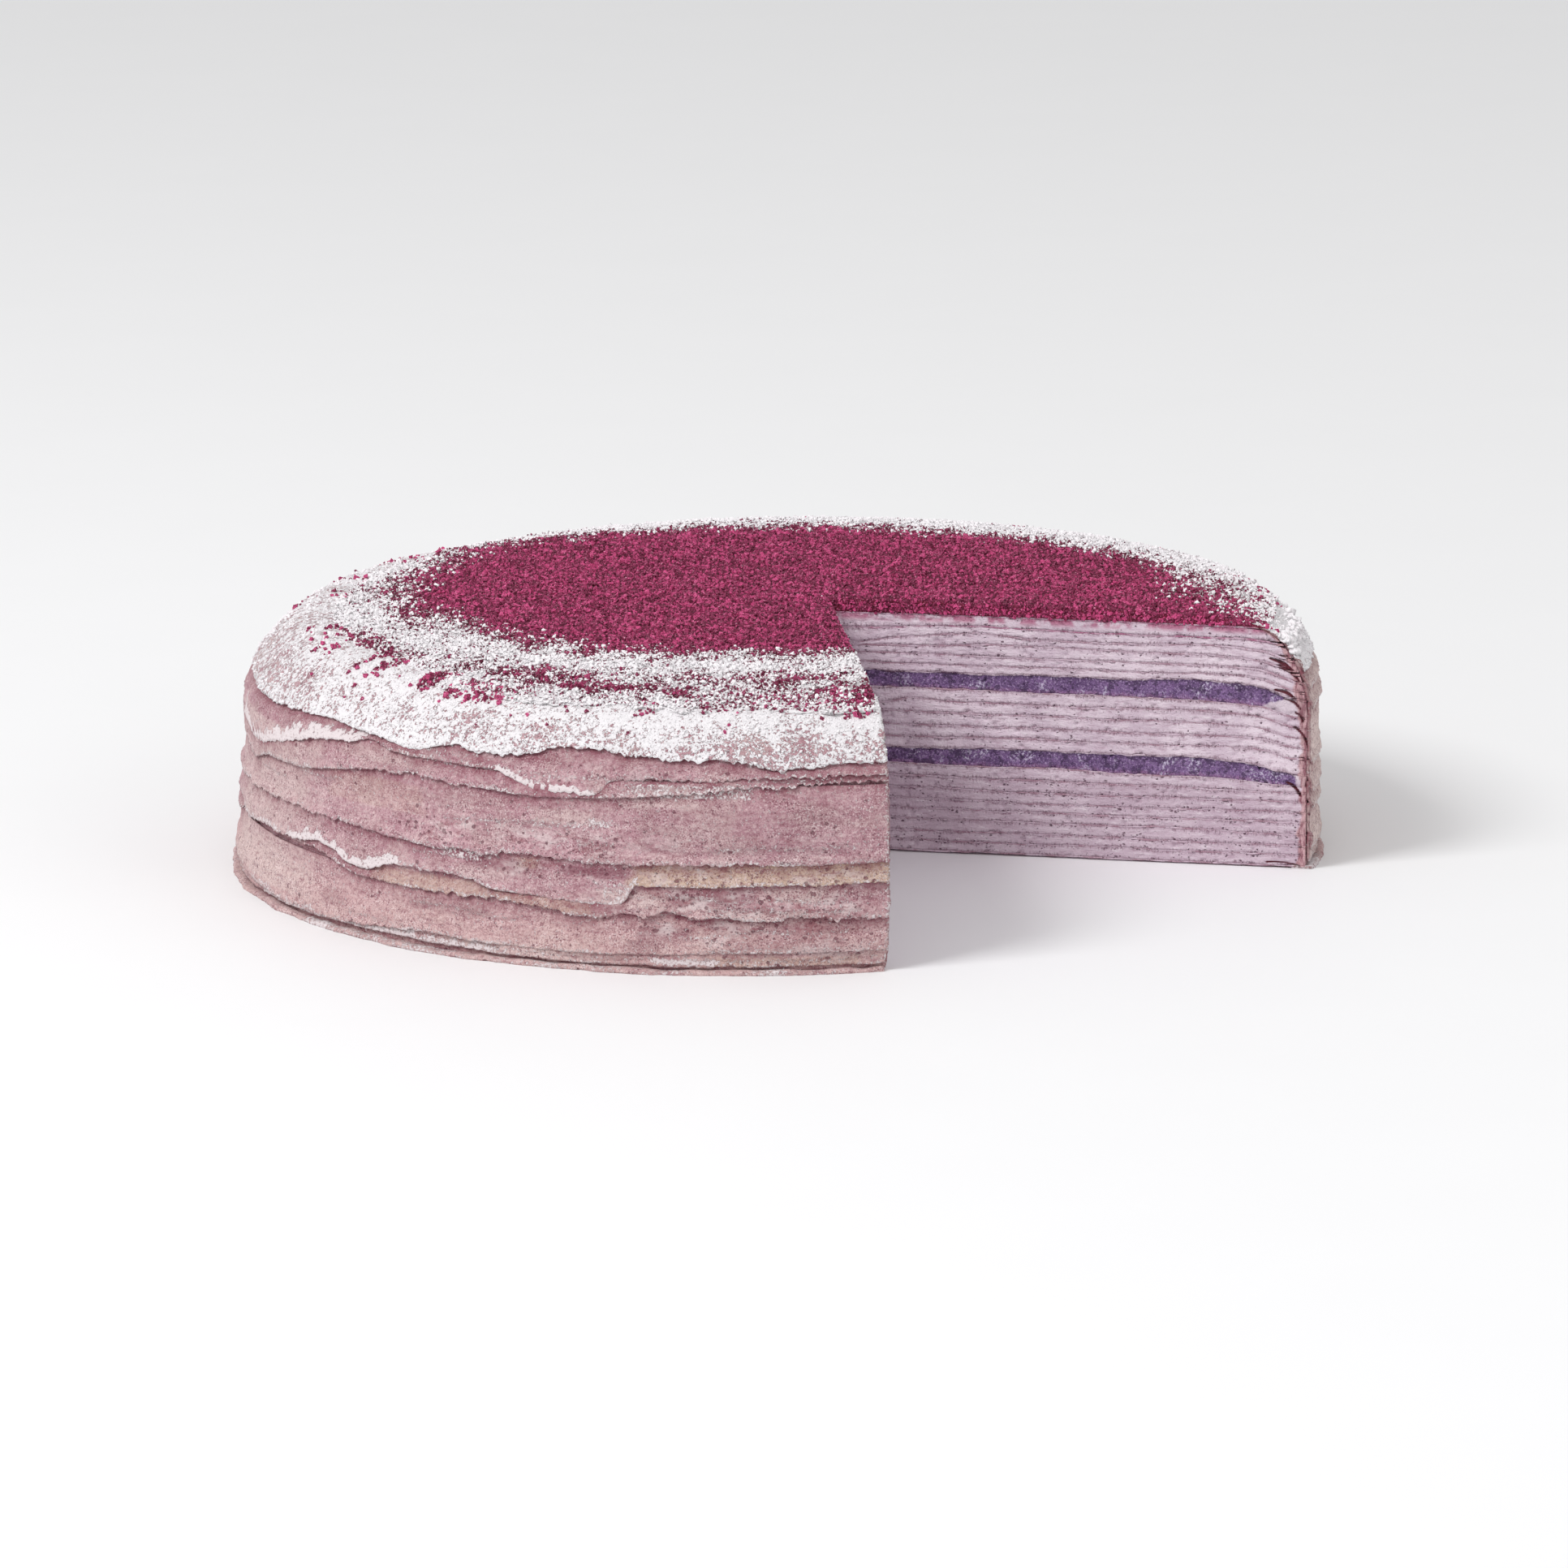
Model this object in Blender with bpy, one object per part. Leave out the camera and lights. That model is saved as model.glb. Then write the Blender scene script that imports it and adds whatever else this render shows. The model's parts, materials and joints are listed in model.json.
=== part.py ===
"""A mille crepe cake with one slice cut out, as its real layers.

Twenty-two thin crepes alternate with pastry cream in three stacks, with a layer of purple yam
paste between the stacks and a bed of cake crumbs on top. Every layer is made as a whole round
sheet about the cake's middle, and one wedge-shaped cutter then takes the slice out of all of
them. Some crepes are wider than the cake: each hangs down the side and over the shoulder of the
next wide one below it, like shingles.

Metres, +Z up. The origin is the middle of the base. The slice is missing at the front right (+X, -Y).
"""

import math
import random
from functools import partial

import bmesh
import bpy

# Whole cake
STEPS = 28  # flat sides of a full round
TOUCH_GAP = 0.0003  # clearance between pieces that touch
STACK_HEIGHT = 0.0510  # base to the top of the highest crepe
CORE_RADIUS = 0.1122  # cream and narrow crepes, at the base
CORE_TAPER = 0.0012  # how far the side has come in where it starts to round over
SHOULDER_HEIGHT = 0.0300  # where the side starts to round over
SHOULDER_INSET = 0.0140  # how far the rounding comes in at the top
LEAN = 0.055  # the cake leans to +X by this share of the height
LUMPS = ((2, 0.7, 0.0040), (4, 2.1, 0.0020))  # out of round: waves a turn, phase, share of radius

# Layers
CREPE_THICKNESS = 0.0007
PASTE_THICKNESS = 0.0027
PASTE_SETBACK = 0.0035  # the paste stops short of the side
STACKS = ((9, 0.0191), (6, 0.0135), (7, 0.0130))  # crepes and height of each stack, going up
CREAM_UNEVENNESS = 0.12  # share by which one cream layer is thicker or thinner than the next
SAG_START_RADIUS = 0.0985  # from here to the side the upper layers slope down
SAG_START_HEIGHT = 0.0185  # the layers below this stay flat
SAG_AT_TOP = 0.0038

# Wide crepes, from the base up: number, height of the hanging edge, how much lower it hangs on the left
WIDE_CREPES = (
    (4, 0.0017, 0.0),
    (7, 0.0045, 0.0),
    (9, 0.0126, 0.0),
    (11, 0.0169, 0.0008),
    (16, 0.0222, 0.0),
    (18, 0.0338, 0.0012),
    (20, 0.0377, 0.0),
    (22, 0.0417, 0.0),
)
LEFT = math.radians(195)
EDGE_UNEVENNESS = 0.0004
ROUNDING_STEPS = 3  # straight stretches of the highest crepe over the rounded shoulder
BASE_CREPE_RADIUS = 0.1150  # the lowest crepe sticks out flat on the plate
BASE_CREPE_WAVE = 0.0007

# Crumb topping: radius, depth and bumpiness of each ring, from the middle out
CRUMB_RINGS = (
    (0.0360, 0.0029, 0.0003),
    (0.0660, 0.0028, 0.0003),
    (0.0850, 0.0023, 0.0003),
    (0.0940, 0.0014, 0.0002),
    (0.1010, 0.0008, 0.0001),
)
CRUMB_OUTLINE_WAVE = 0.0010

# The slice that is missing
SLICE_TIP_X = 0.0108  # the knife met this far from the middle
SLICE_RIGHT_EDGE = math.radians(-14.5)
SLICE_FRONT_EDGE = math.radians(-84.8)
SLICE_CUTTER_LENGTH = 0.200

COLOURS = {  # base colour, roughness
    "crepe": ((0.46, 0.27, 0.30), 0.70),
    "cream": ((0.55, 0.42, 0.50), 0.55),
    "yam_paste": ((0.20, 0.11, 0.24), 0.45),
    "crumbs": ((0.24, 0.03, 0.09), 0.85),
}


def clear_scene():
    for obj in list(bpy.data.objects):
        bpy.data.objects.remove(obj)


def make_material(name):
    colour, roughness = COLOURS[name]
    material = bpy.data.materials.new(name)
    material.use_nodes = True
    shader = material.node_tree.nodes["Principled BSDF"]
    shader.inputs["Base Color"].default_value = (*colour, 1.0)
    shader.inputs["Roughness"].default_value = roughness
    shader.inputs["Metallic"].default_value = 0.0
    return material


def core_radius(height):
    """Radius of the cream and the narrow crepes: a slight taper, then a rounded shoulder."""
    radius = CORE_RADIUS - CORE_TAPER * min(1.0, height / SHOULDER_HEIGHT)
    if height > SHOULDER_HEIGHT:
        share = min(1.0, (height - SHOULDER_HEIGHT) / (STACK_HEIGHT - SHOULDER_HEIGHT))
        radius -= SHOULDER_INSET * (1 - math.sqrt(1 - share**2))
    return radius


def sag(radius, height):
    """How far a layer has sunk where it nears the side."""
    if height <= SAG_START_HEIGHT or radius <= SAG_START_RADIUS:
        return 0.0
    outwards = (radius - SAG_START_RADIUS) / (CORE_RADIUS - SAG_START_RADIUS)
    upwards = (height - SAG_START_HEIGHT) / (STACK_HEIGHT - SAG_START_HEIGHT)
    return SAG_AT_TOP * outwards * upwards


def side_point(height):
    """(radius, height) where a layer that starts out at this height meets the side."""
    radius = core_radius(height)
    for _ in range(8):
        radius = core_radius(height - sag(radius, height))
    return radius, height - sag(radius, height)


def out_of_round(radius, angle):
    """The cake isn't a true circle. Even waves keep its middle where it is."""
    wave = sum(share * math.sin(turns * angle + phase) for turns, phase, share in LUMPS)
    return radius * (1 + wave * (radius / CORE_RADIUS) ** 3)


def wavy(angle, seed):
    """An uneven line round the cake, from -1 to 1."""
    rng = random.Random(seed)
    waves = ((2, 0.5), (5, 0.3), (9, 0.2))  # waves in a turn, share of the height
    return sum(share * math.sin(turns * angle + rng.uniform(0, math.tau)) for turns, share in waves)


def layer_levels():
    """(kind, number, bottom, top) of every crepe, cream and paste layer, from the base up."""
    rng = random.Random(4)
    levels = []
    base = 0.0
    crepe_number = cream_number = 0
    for stack, (crepes, height) in enumerate(STACKS):
        if stack:
            upper = base + PASTE_THICKNESS - TOUCH_GAP
            levels.append(("yam_paste", stack, base + TOUCH_GAP, upper))
            base += PASTE_THICKNESS
        room = height - crepes * CREPE_THICKNESS
        shares = [1 + CREAM_UNEVENNESS * rng.uniform(-1, 1) for _ in range(crepes - 1)]
        for place in range(crepes):
            crepe_number += 1
            levels.append(("crepe", crepe_number, base, base + CREPE_THICKNESS))
            base += CREPE_THICKNESS
            if place < crepes - 1:
                cream_number += 1
                step = room * shares[place] / sum(shares)
                levels.append(("cream", cream_number, base + TOUCH_GAP, base + step - TOUCH_GAP))
                base += step
    return levels


def narrow_profile(bottom, top, setback, _angle):
    """Cross-section of a layer that ends at the side, alike at every angle.

    The (radius, height) points of every cross-section go from the middle of the top to the base.
    """
    upper, lower = side_point(top)[0] - setback, side_point(bottom)[0] - setback
    ends = [(upper, top - sag(upper, top)), (lower, bottom - sag(lower, bottom))]
    outline = [(0.0, top), *ends, (0.0, bottom)]
    if top > SAG_START_HEIGHT:
        outline.insert(1, (SAG_START_RADIUS, top))
        outline.insert(4, (SAG_START_RADIUS, bottom))
    return outline


def fold(bottom, top):
    """(radius, height) of the outer corner where a wide crepe turns down the side."""
    radius = side_point(bottom)[0] + TOUCH_GAP + CREPE_THICKNESS
    return radius, top - sag(radius, top)


def wide_profile(bottom, top, edge_above, next_fold, edge):
    """Cross-section of a wide crepe: flat on the cake, down its side and over the next one's fold."""
    start_radius, start = side_point(bottom)
    lining = [(start_radius + TOUCH_GAP, start)]
    over_next = (next_fold[0] + TOUCH_GAP, next_fold[1] + TOUCH_GAP)
    if edge_above is None:
        for step in range(1, ROUNDING_STEPS):
            share = step / ROUNDING_STEPS
            height = start + (over_next[1] - start) * share
            lining.append((core_radius(height) + TOUCH_GAP + CREPE_THICKNESS * share, height))
    else:
        tucked = edge_above - TOUCH_GAP
        lining.append((core_radius(tucked) + TOUCH_GAP, tucked))
    lining += [over_next, (core_radius(edge) + 2 * TOUCH_GAP + CREPE_THICKNESS, edge)]
    outer = [fold(bottom, top)] + [(radius + CREPE_THICKNESS, height) for radius, height in lining[1:]]
    if top > SAG_START_HEIGHT:
        outer.insert(0, (SAG_START_RADIUS, top))
        lining.insert(0, (SAG_START_RADIUS, bottom))
    return [(0.0, top)] + outer + lining[::-1] + [(0.0, bottom)]


def hanging_edge(place, angle):
    """Height of a wide crepe's edge at this angle. There is no crepe above the last one."""
    if place == len(WIDE_CREPES):
        return None
    number, height, lower_on_left = WIDE_CREPES[place]
    return height - lower_on_left * math.cos(angle - LEFT) + EDGE_UNEVENNESS * wavy(angle, number)


def wide_profile_at(place, bottom, top, next_fold, angle):
    edge_above = hanging_edge(place + 1, angle)
    return wide_profile(bottom, top, edge_above, next_fold, hanging_edge(place, angle))


def wide_crepe_profiles(levels):
    """For each wide crepe, its cross-section as a function of the angle."""
    span = {number: (bottom, top) for kind, number, bottom, top in levels if kind == "crepe"}
    below = (CORE_RADIUS + TOUCH_GAP + CREPE_THICKNESS, WIDE_CREPES[0][1] + 2 * EDGE_UNEVENNESS)
    profiles = {}
    for place, (number, _, _) in enumerate(WIDE_CREPES):
        profiles[number] = partial(wide_profile_at, place, *span[number], below)
        below = fold(*span[number])
    return profiles


def base_crepe_profile(angle):
    radius = BASE_CREPE_RADIUS + BASE_CREPE_WAVE * math.cos(6 * angle + 0.4)
    return [(0.0, CREPE_THICKNESS), (radius, CREPE_THICKNESS), (radius, 0.0), (0.0, 0.0)]


def crumb_profile(angle):
    """The crumb bed: bumpy on top, and lying on the highest crepe."""
    rng = random.Random(round(1000 * angle))
    outline = [(0.0, STACK_HEIGHT + CRUMB_RINGS[0][1])]
    for radius, depth, bumps in CRUMB_RINGS:
        reach = radius + CRUMB_OUTLINE_WAVE * wavy(angle, 90) * (radius / CORE_RADIUS) ** 4
        height = STACK_HEIGHT + depth - sag(reach, STACK_HEIGHT) + bumps * rng.uniform(-1, 1)
        outline.append((reach, height))
    edge = outline[-1][0]
    outline.append((edge, STACK_HEIGHT + TOUCH_GAP - sag(edge, STACK_HEIGHT)))
    outline.append((SAG_START_RADIUS, STACK_HEIGHT + TOUCH_GAP))
    return outline + [(0.0, STACK_HEIGHT + TOUCH_GAP)]


def turn_profile(name, profile_at):
    """A closed round mesh whose cross-section profile_at(angle) may change on the way round.

    A profile starts and ends on the axis, and every angle's profile has the same number of points.
    """
    built = bmesh.new()
    rings = []
    for step in range(STEPS):
        angle = math.tau * step / STEPS
        ring = []
        for radius, height in profile_at(angle)[1:-1]:
            reach = out_of_round(radius, angle)
            x = reach * math.cos(angle) + LEAN * height
            ring.append(built.verts.new((x, reach * math.sin(angle), height)))
        rings.append(ring)
    start = profile_at(0.0)
    middles = (start[0][1], start[-1][1])
    top, bottom = (built.verts.new((LEAN * height, 0.0, height)) for height in middles)
    for here, after in zip(rings, rings[1:] + rings[:1]):
        built.faces.new((top, here[0], after[0]))
        built.faces.new((bottom, after[-1], here[-1]))
        for place in range(len(here) - 1):
            built.faces.new((here[place], here[place + 1], after[place + 1], after[place]))
    bmesh.ops.recalc_face_normals(built, faces=built.faces)
    mesh = bpy.data.meshes.new(name)
    built.to_mesh(mesh)
    built.free()
    return mesh


def make_cutter():
    """The missing slice: a three-cornered prism taller than the cake, with its tip near the middle."""
    corners = [(SLICE_TIP_X, 0.0)]
    for angle in (SLICE_FRONT_EDGE, SLICE_RIGHT_EDGE):
        x = SLICE_TIP_X + SLICE_CUTTER_LENGTH * math.cos(angle)
        corners.append((x, SLICE_CUTTER_LENGTH * math.sin(angle)))
    built = bmesh.new()
    base = built.faces.new([built.verts.new((x, y, -STACK_HEIGHT)) for x, y in corners])
    raised = bmesh.ops.extrude_face_region(built, geom=[base])["geom"]
    raised_corners = [item for item in raised if isinstance(item, bmesh.types.BMVert)]
    bmesh.ops.translate(built, vec=(0, 0, 3 * STACK_HEIGHT), verts=raised_corners)
    bmesh.ops.recalc_face_normals(built, faces=built.faces)
    mesh = bpy.data.meshes.new("slice_cutter")
    built.to_mesh(mesh)
    built.free()
    cutter = bpy.data.objects.new("slice_cutter", mesh)
    bpy.context.scene.collection.objects.link(cutter)
    cutter.hide_render = True
    cutter.display_type = "WIRE"
    return cutter


def add_layer(name, profile_at, material, cutter):
    mesh = turn_profile(name, profile_at)
    mesh.materials.append(material)
    mesh.shade_smooth()
    mesh.set_sharp_from_angle(angle=math.radians(35))
    layer = bpy.data.objects.new(name, mesh)
    bpy.context.scene.collection.objects.link(layer)
    knife = layer.modifiers.new("slice", "BOOLEAN")
    knife.operation = "DIFFERENCE"
    knife.solver = "EXACT"
    knife.object = cutter


def main():
    clear_scene()
    materials = {name: make_material(name) for name in COLOURS}
    cutter = make_cutter()
    levels = layer_levels()
    wide = wide_crepe_profiles(levels)
    for kind, number, bottom, top in levels:
        setback = PASTE_SETBACK if kind == "yam_paste" else 0.0
        profile_at = partial(narrow_profile, bottom, top, setback)
        if kind == "crepe" and number == 1:
            profile_at = base_crepe_profile
        elif kind == "crepe":
            profile_at = wide.get(number, profile_at)
        add_layer(f"{kind}_{number:02d}", profile_at, materials[kind], cutter)
    add_layer("crumb_topping", crumb_profile, materials["crumbs"], cutter)


main()
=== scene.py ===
"""A purple mille crepe cake with one slice missing, dressed for show.

Thin wavy crepes and airy cream show on the two cut sides, ragged skins hang down the outside like
shingles, and the top is a bed of coarse cake crumbs with a wide ring of powdered sugar.
"""

import itertools
import json
import math

import bpy
import numpy as np
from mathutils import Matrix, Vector
from mathutils.geometry import delaunay_2d_cdt

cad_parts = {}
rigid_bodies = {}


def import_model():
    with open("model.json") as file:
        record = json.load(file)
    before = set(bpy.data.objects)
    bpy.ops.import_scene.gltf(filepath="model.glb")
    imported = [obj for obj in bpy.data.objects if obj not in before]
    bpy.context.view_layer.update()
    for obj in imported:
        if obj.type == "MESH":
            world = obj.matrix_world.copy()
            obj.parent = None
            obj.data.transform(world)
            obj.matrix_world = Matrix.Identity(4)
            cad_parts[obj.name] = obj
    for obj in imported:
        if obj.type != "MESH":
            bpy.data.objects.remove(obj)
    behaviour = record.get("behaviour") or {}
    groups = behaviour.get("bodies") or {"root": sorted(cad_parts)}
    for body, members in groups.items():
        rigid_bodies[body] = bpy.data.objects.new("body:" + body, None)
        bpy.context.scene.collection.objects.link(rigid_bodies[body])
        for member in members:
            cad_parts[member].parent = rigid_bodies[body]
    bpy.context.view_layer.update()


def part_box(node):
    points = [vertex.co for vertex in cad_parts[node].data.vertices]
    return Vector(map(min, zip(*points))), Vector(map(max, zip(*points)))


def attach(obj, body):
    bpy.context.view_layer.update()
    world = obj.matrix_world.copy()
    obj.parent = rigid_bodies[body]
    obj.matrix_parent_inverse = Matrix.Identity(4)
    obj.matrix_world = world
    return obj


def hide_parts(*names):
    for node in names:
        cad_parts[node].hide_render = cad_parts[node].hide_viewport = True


for left_over in list(bpy.data.objects):
    bpy.data.objects.remove(left_over)
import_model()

bl_info = {
    "name": "Mille Crepe Cake",
    "version": (1, 0, 0),
    "blender": (4, 5, 0),
    "location": "3D View > Sidebar > Cake",
    "description": "Builds a crepe cake with a slice missing, layer by layer",
    "category": "Mesh",
}

MM = 0.001

# The round of the cake, as its solids have it
CORE_RADIUS = 112.2 * MM
CORE_TAPER = 1.2 * MM
SHOULDER_HEIGHT = 30 * MM
SHOULDER_INSET = 14 * MM
STACK_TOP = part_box("crepe_22")[1].z
LEAN = 0.055
LUMPS = ((2, 0.7, 0.0040), (4, 2.1, 0.0020))
SAG_START_RADIUS = 87 * MM
SAG_AT_TOP = 2.7 * MM
SAG_START_HEIGHT = 12 * MM
PASTE_END_DROPS = ((10, 1.3, 100, 109), (16, 0.5, 99, 107))  # from this crepe up: drop, between radii, in mm
SAG_SHARES = {21: 0.8, 22: 0.4}  # the highest crepes sink less

# The slice that is missing
TIP = np.array((10.8, -0.6)) * MM
RIGHT_CUT = math.radians(-14.1)
FRONT_CUT = math.radians(275.25)
FRONT_CUT_BULGE = ((0, 0.0), (5, 0.8), (14, 1.35), (40, 1.45), (47, 1.2), (54, 0.8))  # height and bulge in mm
HUB = TIP + 30 * MM * np.array((math.cos(math.radians(130)), math.sin(math.radians(130))))

CREPES = 22
WIDE_CREPES = (4, 7, 9, 11, 16, 18, 20, 22)
PASTE_ABOVE_CREPE = {9: "yam_paste_01", 15: "yam_paste_02"}

# Height in mm of the hanging edge of each wide crepe, by angle in degrees round the cake
EDGES = {
    4: ((195, 1.4), (225, 2.0), (250, 1.4), (277, 1.6)),
    7: ((190, 3.5), (208, 2.0), (217, 2.1), (231, 4.0), (237, 3.5), (252, 3.5), (265, 4.3), (277, 4.3)),
    9: ((195, 15.4), (213, 15.2), (218, 13.6), (221, 12.6), (230, 12.4), (242, 12.6), (247, 11.5),
        (252, 10.5), (254.4, 12.0), (256.4, 11.0), (258.4, 12.5), (260, 12.2), (261.4, 11.0),
        (263.7, 11.6), (268, 10.7), (272, 11.4), (277, 10.8)),
    11: ((194, 14.5), (197, 15.2), (201, 15.7), (208.6, 15.7), (213.7, 17.0), (217, 16.2),
         (219, 14.5), (222.6, 14.0), (224, 15.0), (226, 16.4), (233, 16.5), (237, 16.0), (239, 14.7),
         (247, 13.7), (253.6, 13.2), (254.6, 15.0), (255.4, 17.6), (262, 17.4), (268, 17.9),
         (277, 18.1)),
    16: ((195, 22.0), (210, 22.7), (219, 22.5), (229, 21.5), (233, 21.0), (235, 22.0), (238, 21.0),
         (243, 22.6), (250, 21.6), (254, 21.5), (257, 22.0), (277, 22.0)),
    18: ((195, 27.5), (198, 29.0), (200, 30.0), (210, 30.9), (216, 32.7), (223, 34.7), (228, 35.2),
         (235, 34.5), (245, 34.0), (251, 34.5), (256, 35.2), (262, 36.2), (266, 37.0), (271, 37.2),
         (277, 38.2)),
    20: ((195, 31.5), (199, 32.0), (203, 33.7), (207, 35.2), (213.7, 37.7), (219, 38.5), (221, 39.8),
         (223, 39.6), (225, 38.6), (228, 38.4), (239.6, 38.2), (240.6, 37.4), (244, 35.4), (247, 35.1),
         (251, 35.2), (253, 38.2), (263, 38.4), (268, 38.8), (277, 39.2)),
    22: ((190, 40.6), (200, 40.2), (210, 41.2), (215, 41.5), (220, 40.9), (224, 40.5), (227, 39.6),
         (229, 39.7), (231, 40.7), (234, 41.9), (236, 41.0), (240, 40.8), (243, 41.5), (247, 43.5),
         (252, 43.0), (257, 42.2), (262, 41.7), (264, 42.5), (269, 41.0), (270.6, 40.0),
         (272.6, 40.7), (277, 41.5)),
}
USUAL_EDGES = {4: 1.7, 7: 4.4, 9: 12.5, 11: 16.8, 16: 22.2, 18: 33.6, 20: 37.5, 22: 41.6}
EDGE_TABLE_SPAN = (195, 277)

# Patches on the skins: finish, first and last angle, lowest and highest point in mm, strength, and the only
# crepe that has it, where it isn't on all
PATCHES = (
    ("beige", 255.2, 288, 16.0, 23.6, 1.0, 11),
    ("beige", 242, 244.6, 19.4, 21.6, 0.8, 11),
    ("beige", 223, 251, 11.2, 15.6, 0.6, 9),
    ("pale", 180, 217, 4.0, 37.0, 0.55),
    ("pale", 250, 259, 13.0, 16.6, 0.6),
    ("pale", 267, 277, 14.4, 17.4, 0.7),
    ("pale", 230, 253, 0.0, 4.0, 0.6),
    ("pale", 262, 276, 9.6, 13.0, 0.45),
    ("pale", 254, 262, 33.0, 37.5, 0.5),
    ("pale", 243, 251, 29.0, 32.0, 0.4),
    ("pale", 234, 242, 16.0, 19.0, 0.4),
    ("pale", 214, 232, 36.0, 39.0, 0.4),
    ("beige", 263, 278, 0.0, 3.6, 0.5),
    ("beige", 215, 230, 27.0, 33.0, 0.25),
    ("dark", 247, 254.6, 18.8, 20.8, 0.8),
    ("dark", 220, 240, 20.4, 22.0, 0.35),
    ("dark", 258, 261, 11.0, 12.6, 0.5),
    ("dark", 254, 258, 3.4, 6.6, 0.45),
    ("dark", 265, 277, 5.0, 8.6, 0.25),
    ("dark", 262, 268, 13.0, 16.0, 0.3),
    ("dark", 256, 277, 24.0, 33.0, 0.22),
    ("dark", 259, 268, 13.6, 17.0, 0.6),
    ("dark", 262, 266, 8.6, 11.4, 0.35),
    ("dark", 270, 279, 9.0, 12.0, 0.3),
    ("dark", 236, 246, 18.4, 21.0, 0.5),
    ("dark", 256, 262, 6.4, 9.4, 0.5),
    ("dark", 228, 240, 8.0, 11.5, 0.3),
    ("dark", 215, 219, 5.0, 8.6, 0.3),
    ("white", 254, 268, 35.0, 37.8, 0.45),
    ("white", 250, 253.4, 28.6, 30.4, 0.5),
    ("white", 257, 264, 1.6, 3.0, 0.8),
    ("white", 203, 237, 0.0, 2.2, 0.7),
    ("white", 233, 238, 19.6, 22.0, 0.5),
    ("white", 251, 255, 15.6, 18.0, 0.4),
    ("white", 243, 250, 28.0, 29.6, 0.35),
)

# Torn edges of thinner sheets stuck on a skin: skin, how far they stand out in mm, (angle, height in mm)
STEPS_ON_SKINS = (
    (16, 0.34, ((196, 26.8), (200, 27.0), (206, 27.3))),
    (16, 0.32, ((232, 27.3), (236, 27.8), (240, 28.3), (244, 28.8), (249, 28.4))),
    (16, 0.28, ((248, 25.3), (251, 25.2), (254, 25.8))),
    (18, 0.28, ((229, 38.2), (236, 38.3), (241, 38.4))),
    (20, 0.30, ((241, 38.2), (247, 38.0), (252, 38.4), (259, 38.3), (262, 38.0))),
    (7, 0.25, ((219, 4.6), (223, 4.7), (228, 4.4))),
    (7, 0.25, ((259, 7.2), (264, 7.8), (268, 8.8), (272, 8.2), (278, 8.6))),
    (9, 0.36, ((256, 15.0), (261, 15.4), (266, 14.4), (271, 14.8), (278, 14.2))),
    (4, 0.3, ((240, 2.8), (252, 2.5), (266, 2.9), (278, 2.6))),
    (7, 0.35, ((228, 9.4), (233, 9.8), (238, 9.2), (243, 8.6))),
    (7, 0.30, ((262, 4.6), (268, 5.2), (273, 4.8), (279, 5.4))),
    (9, 0.32, ((262, 12.6), (267, 13.2), (273, 12.4), (279, 12.9))),
    (16, 0.26, ((206, 30.2), (212, 30.0), (218, 31.0))),
    (16, 0.24, ((262, 24.6), (268, 25.4), (274, 25.0), (279, 25.6))),
    (18, 0.26, ((254, 36.6), (260, 37.0), (268, 38.0), (276, 38.9))),
    (20, 0.26, ((226, 40.3), (232, 40.0), (238, 40.4))),
    (11, 0.34, ((228, 19.6), (232, 20.2), (236, 20.0), (239, 19.2))),
)

# Percentage of the top that powder covers: angle in degrees, then one number every 5 mm from 57 mm out
SUGAR_COVER = (
    (-12, 0, 0, 0, 0, 1, 0, 1, 1, 5, 50),
    (0, 0, 0, 0, 1, 6, 14, 14, 16, 30, 72),
    (20, 0, 0, 0, 0, 1, 10, 53, 85, 97, 99),
    (45, 0, 0, 0, 0, 7, 50, 83, 96, 97, 100),
    (70, 0, 0, 0, 9, 39, 69, 95, 99, 100, 98),
    (90, 0, 0, 0, 2, 18, 52, 82, 93, 100, 100),
    (110, 0, 0, 0, 0, 5, 31, 71, 95, 100, 100),
    (135, 0, 0, 0, 0, 0, 2, 6, 22, 52, 79),
    (150, 0, 0, 0, 0, 5, 16, 41, 88, 94, 98),
    (165, 0, 0, 0, 2, 5, 24, 33, 65, 85, 93),
    (180, 0, 0, 0, 1, 11, 40, 84, 92, 90, 70),
    (190, 0, 0, 5, 20, 35, 63, 80, 79, 46, 56),
    (200, 0, 0, 13, 34, 58, 80, 85, 53, 48, 52),
    (210, 0, 4, 23, 54, 70, 82, 94, 49, 41, 95),
    (220, 0, 14, 30, 61, 82, 91, 67, 58, 77, 92),
    (230, 2, 15, 46, 61, 87, 60, 39, 58, 83, 99),
    (240, 14, 26, 42, 64, 82, 65, 24, 36, 69, 92),
    (250, 12, 52, 65, 78, 84, 61, 45, 23, 61, 86),
    (260, 24, 64, 88, 91, 61, 38, 48, 48, 67, 62),
    (270, 22, 59, 62, 82, 58, 38, 50, 29, 35, 60),
    (276, 25, 50, 67, 84, 50, 44, 55, 18, 20, 55),
)
COVER_START = 57 * MM
COVER_STEP = 5 * MM
PAINTED_SUGAR_GLOW = 0.15  # painted glow: emission standing in for light that powder scatters back out of its hollows

# How much higher a skin starts than where its crepe turns down: angle in degrees, height in mm
SKINS_START_HIGHER = {
    16: ((222, 0.0), (236, 2.3), (262, 2.6), (279, 2.2)),
    18: ((205, 0.4), (230, 1.2), (279, 1.2)),
    20: ((195, 0.4), (215, 1.6), (262, 1.8), (279, 1.4)),
}

# White frayed hems: crepe, first and last angle, how far up they reach in mm, strength
WHITE_HEMS = (
    (20, 188, 221, 3.2, 1.0),
    (20, 238.5, 252, 1.5, 1.0),
    (18, 196, 212, 1.0, 0.5),
    (11, 190, 206, 1.3, 0.6),
    (11, 206, 228, 2.2, 0.95),
    (11, 251, 256, 2.0, 0.6),
    (7, 196, 214, 1.2, 0.5),
    (4, 200, 240, 1.6, 0.8),
)

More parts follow.
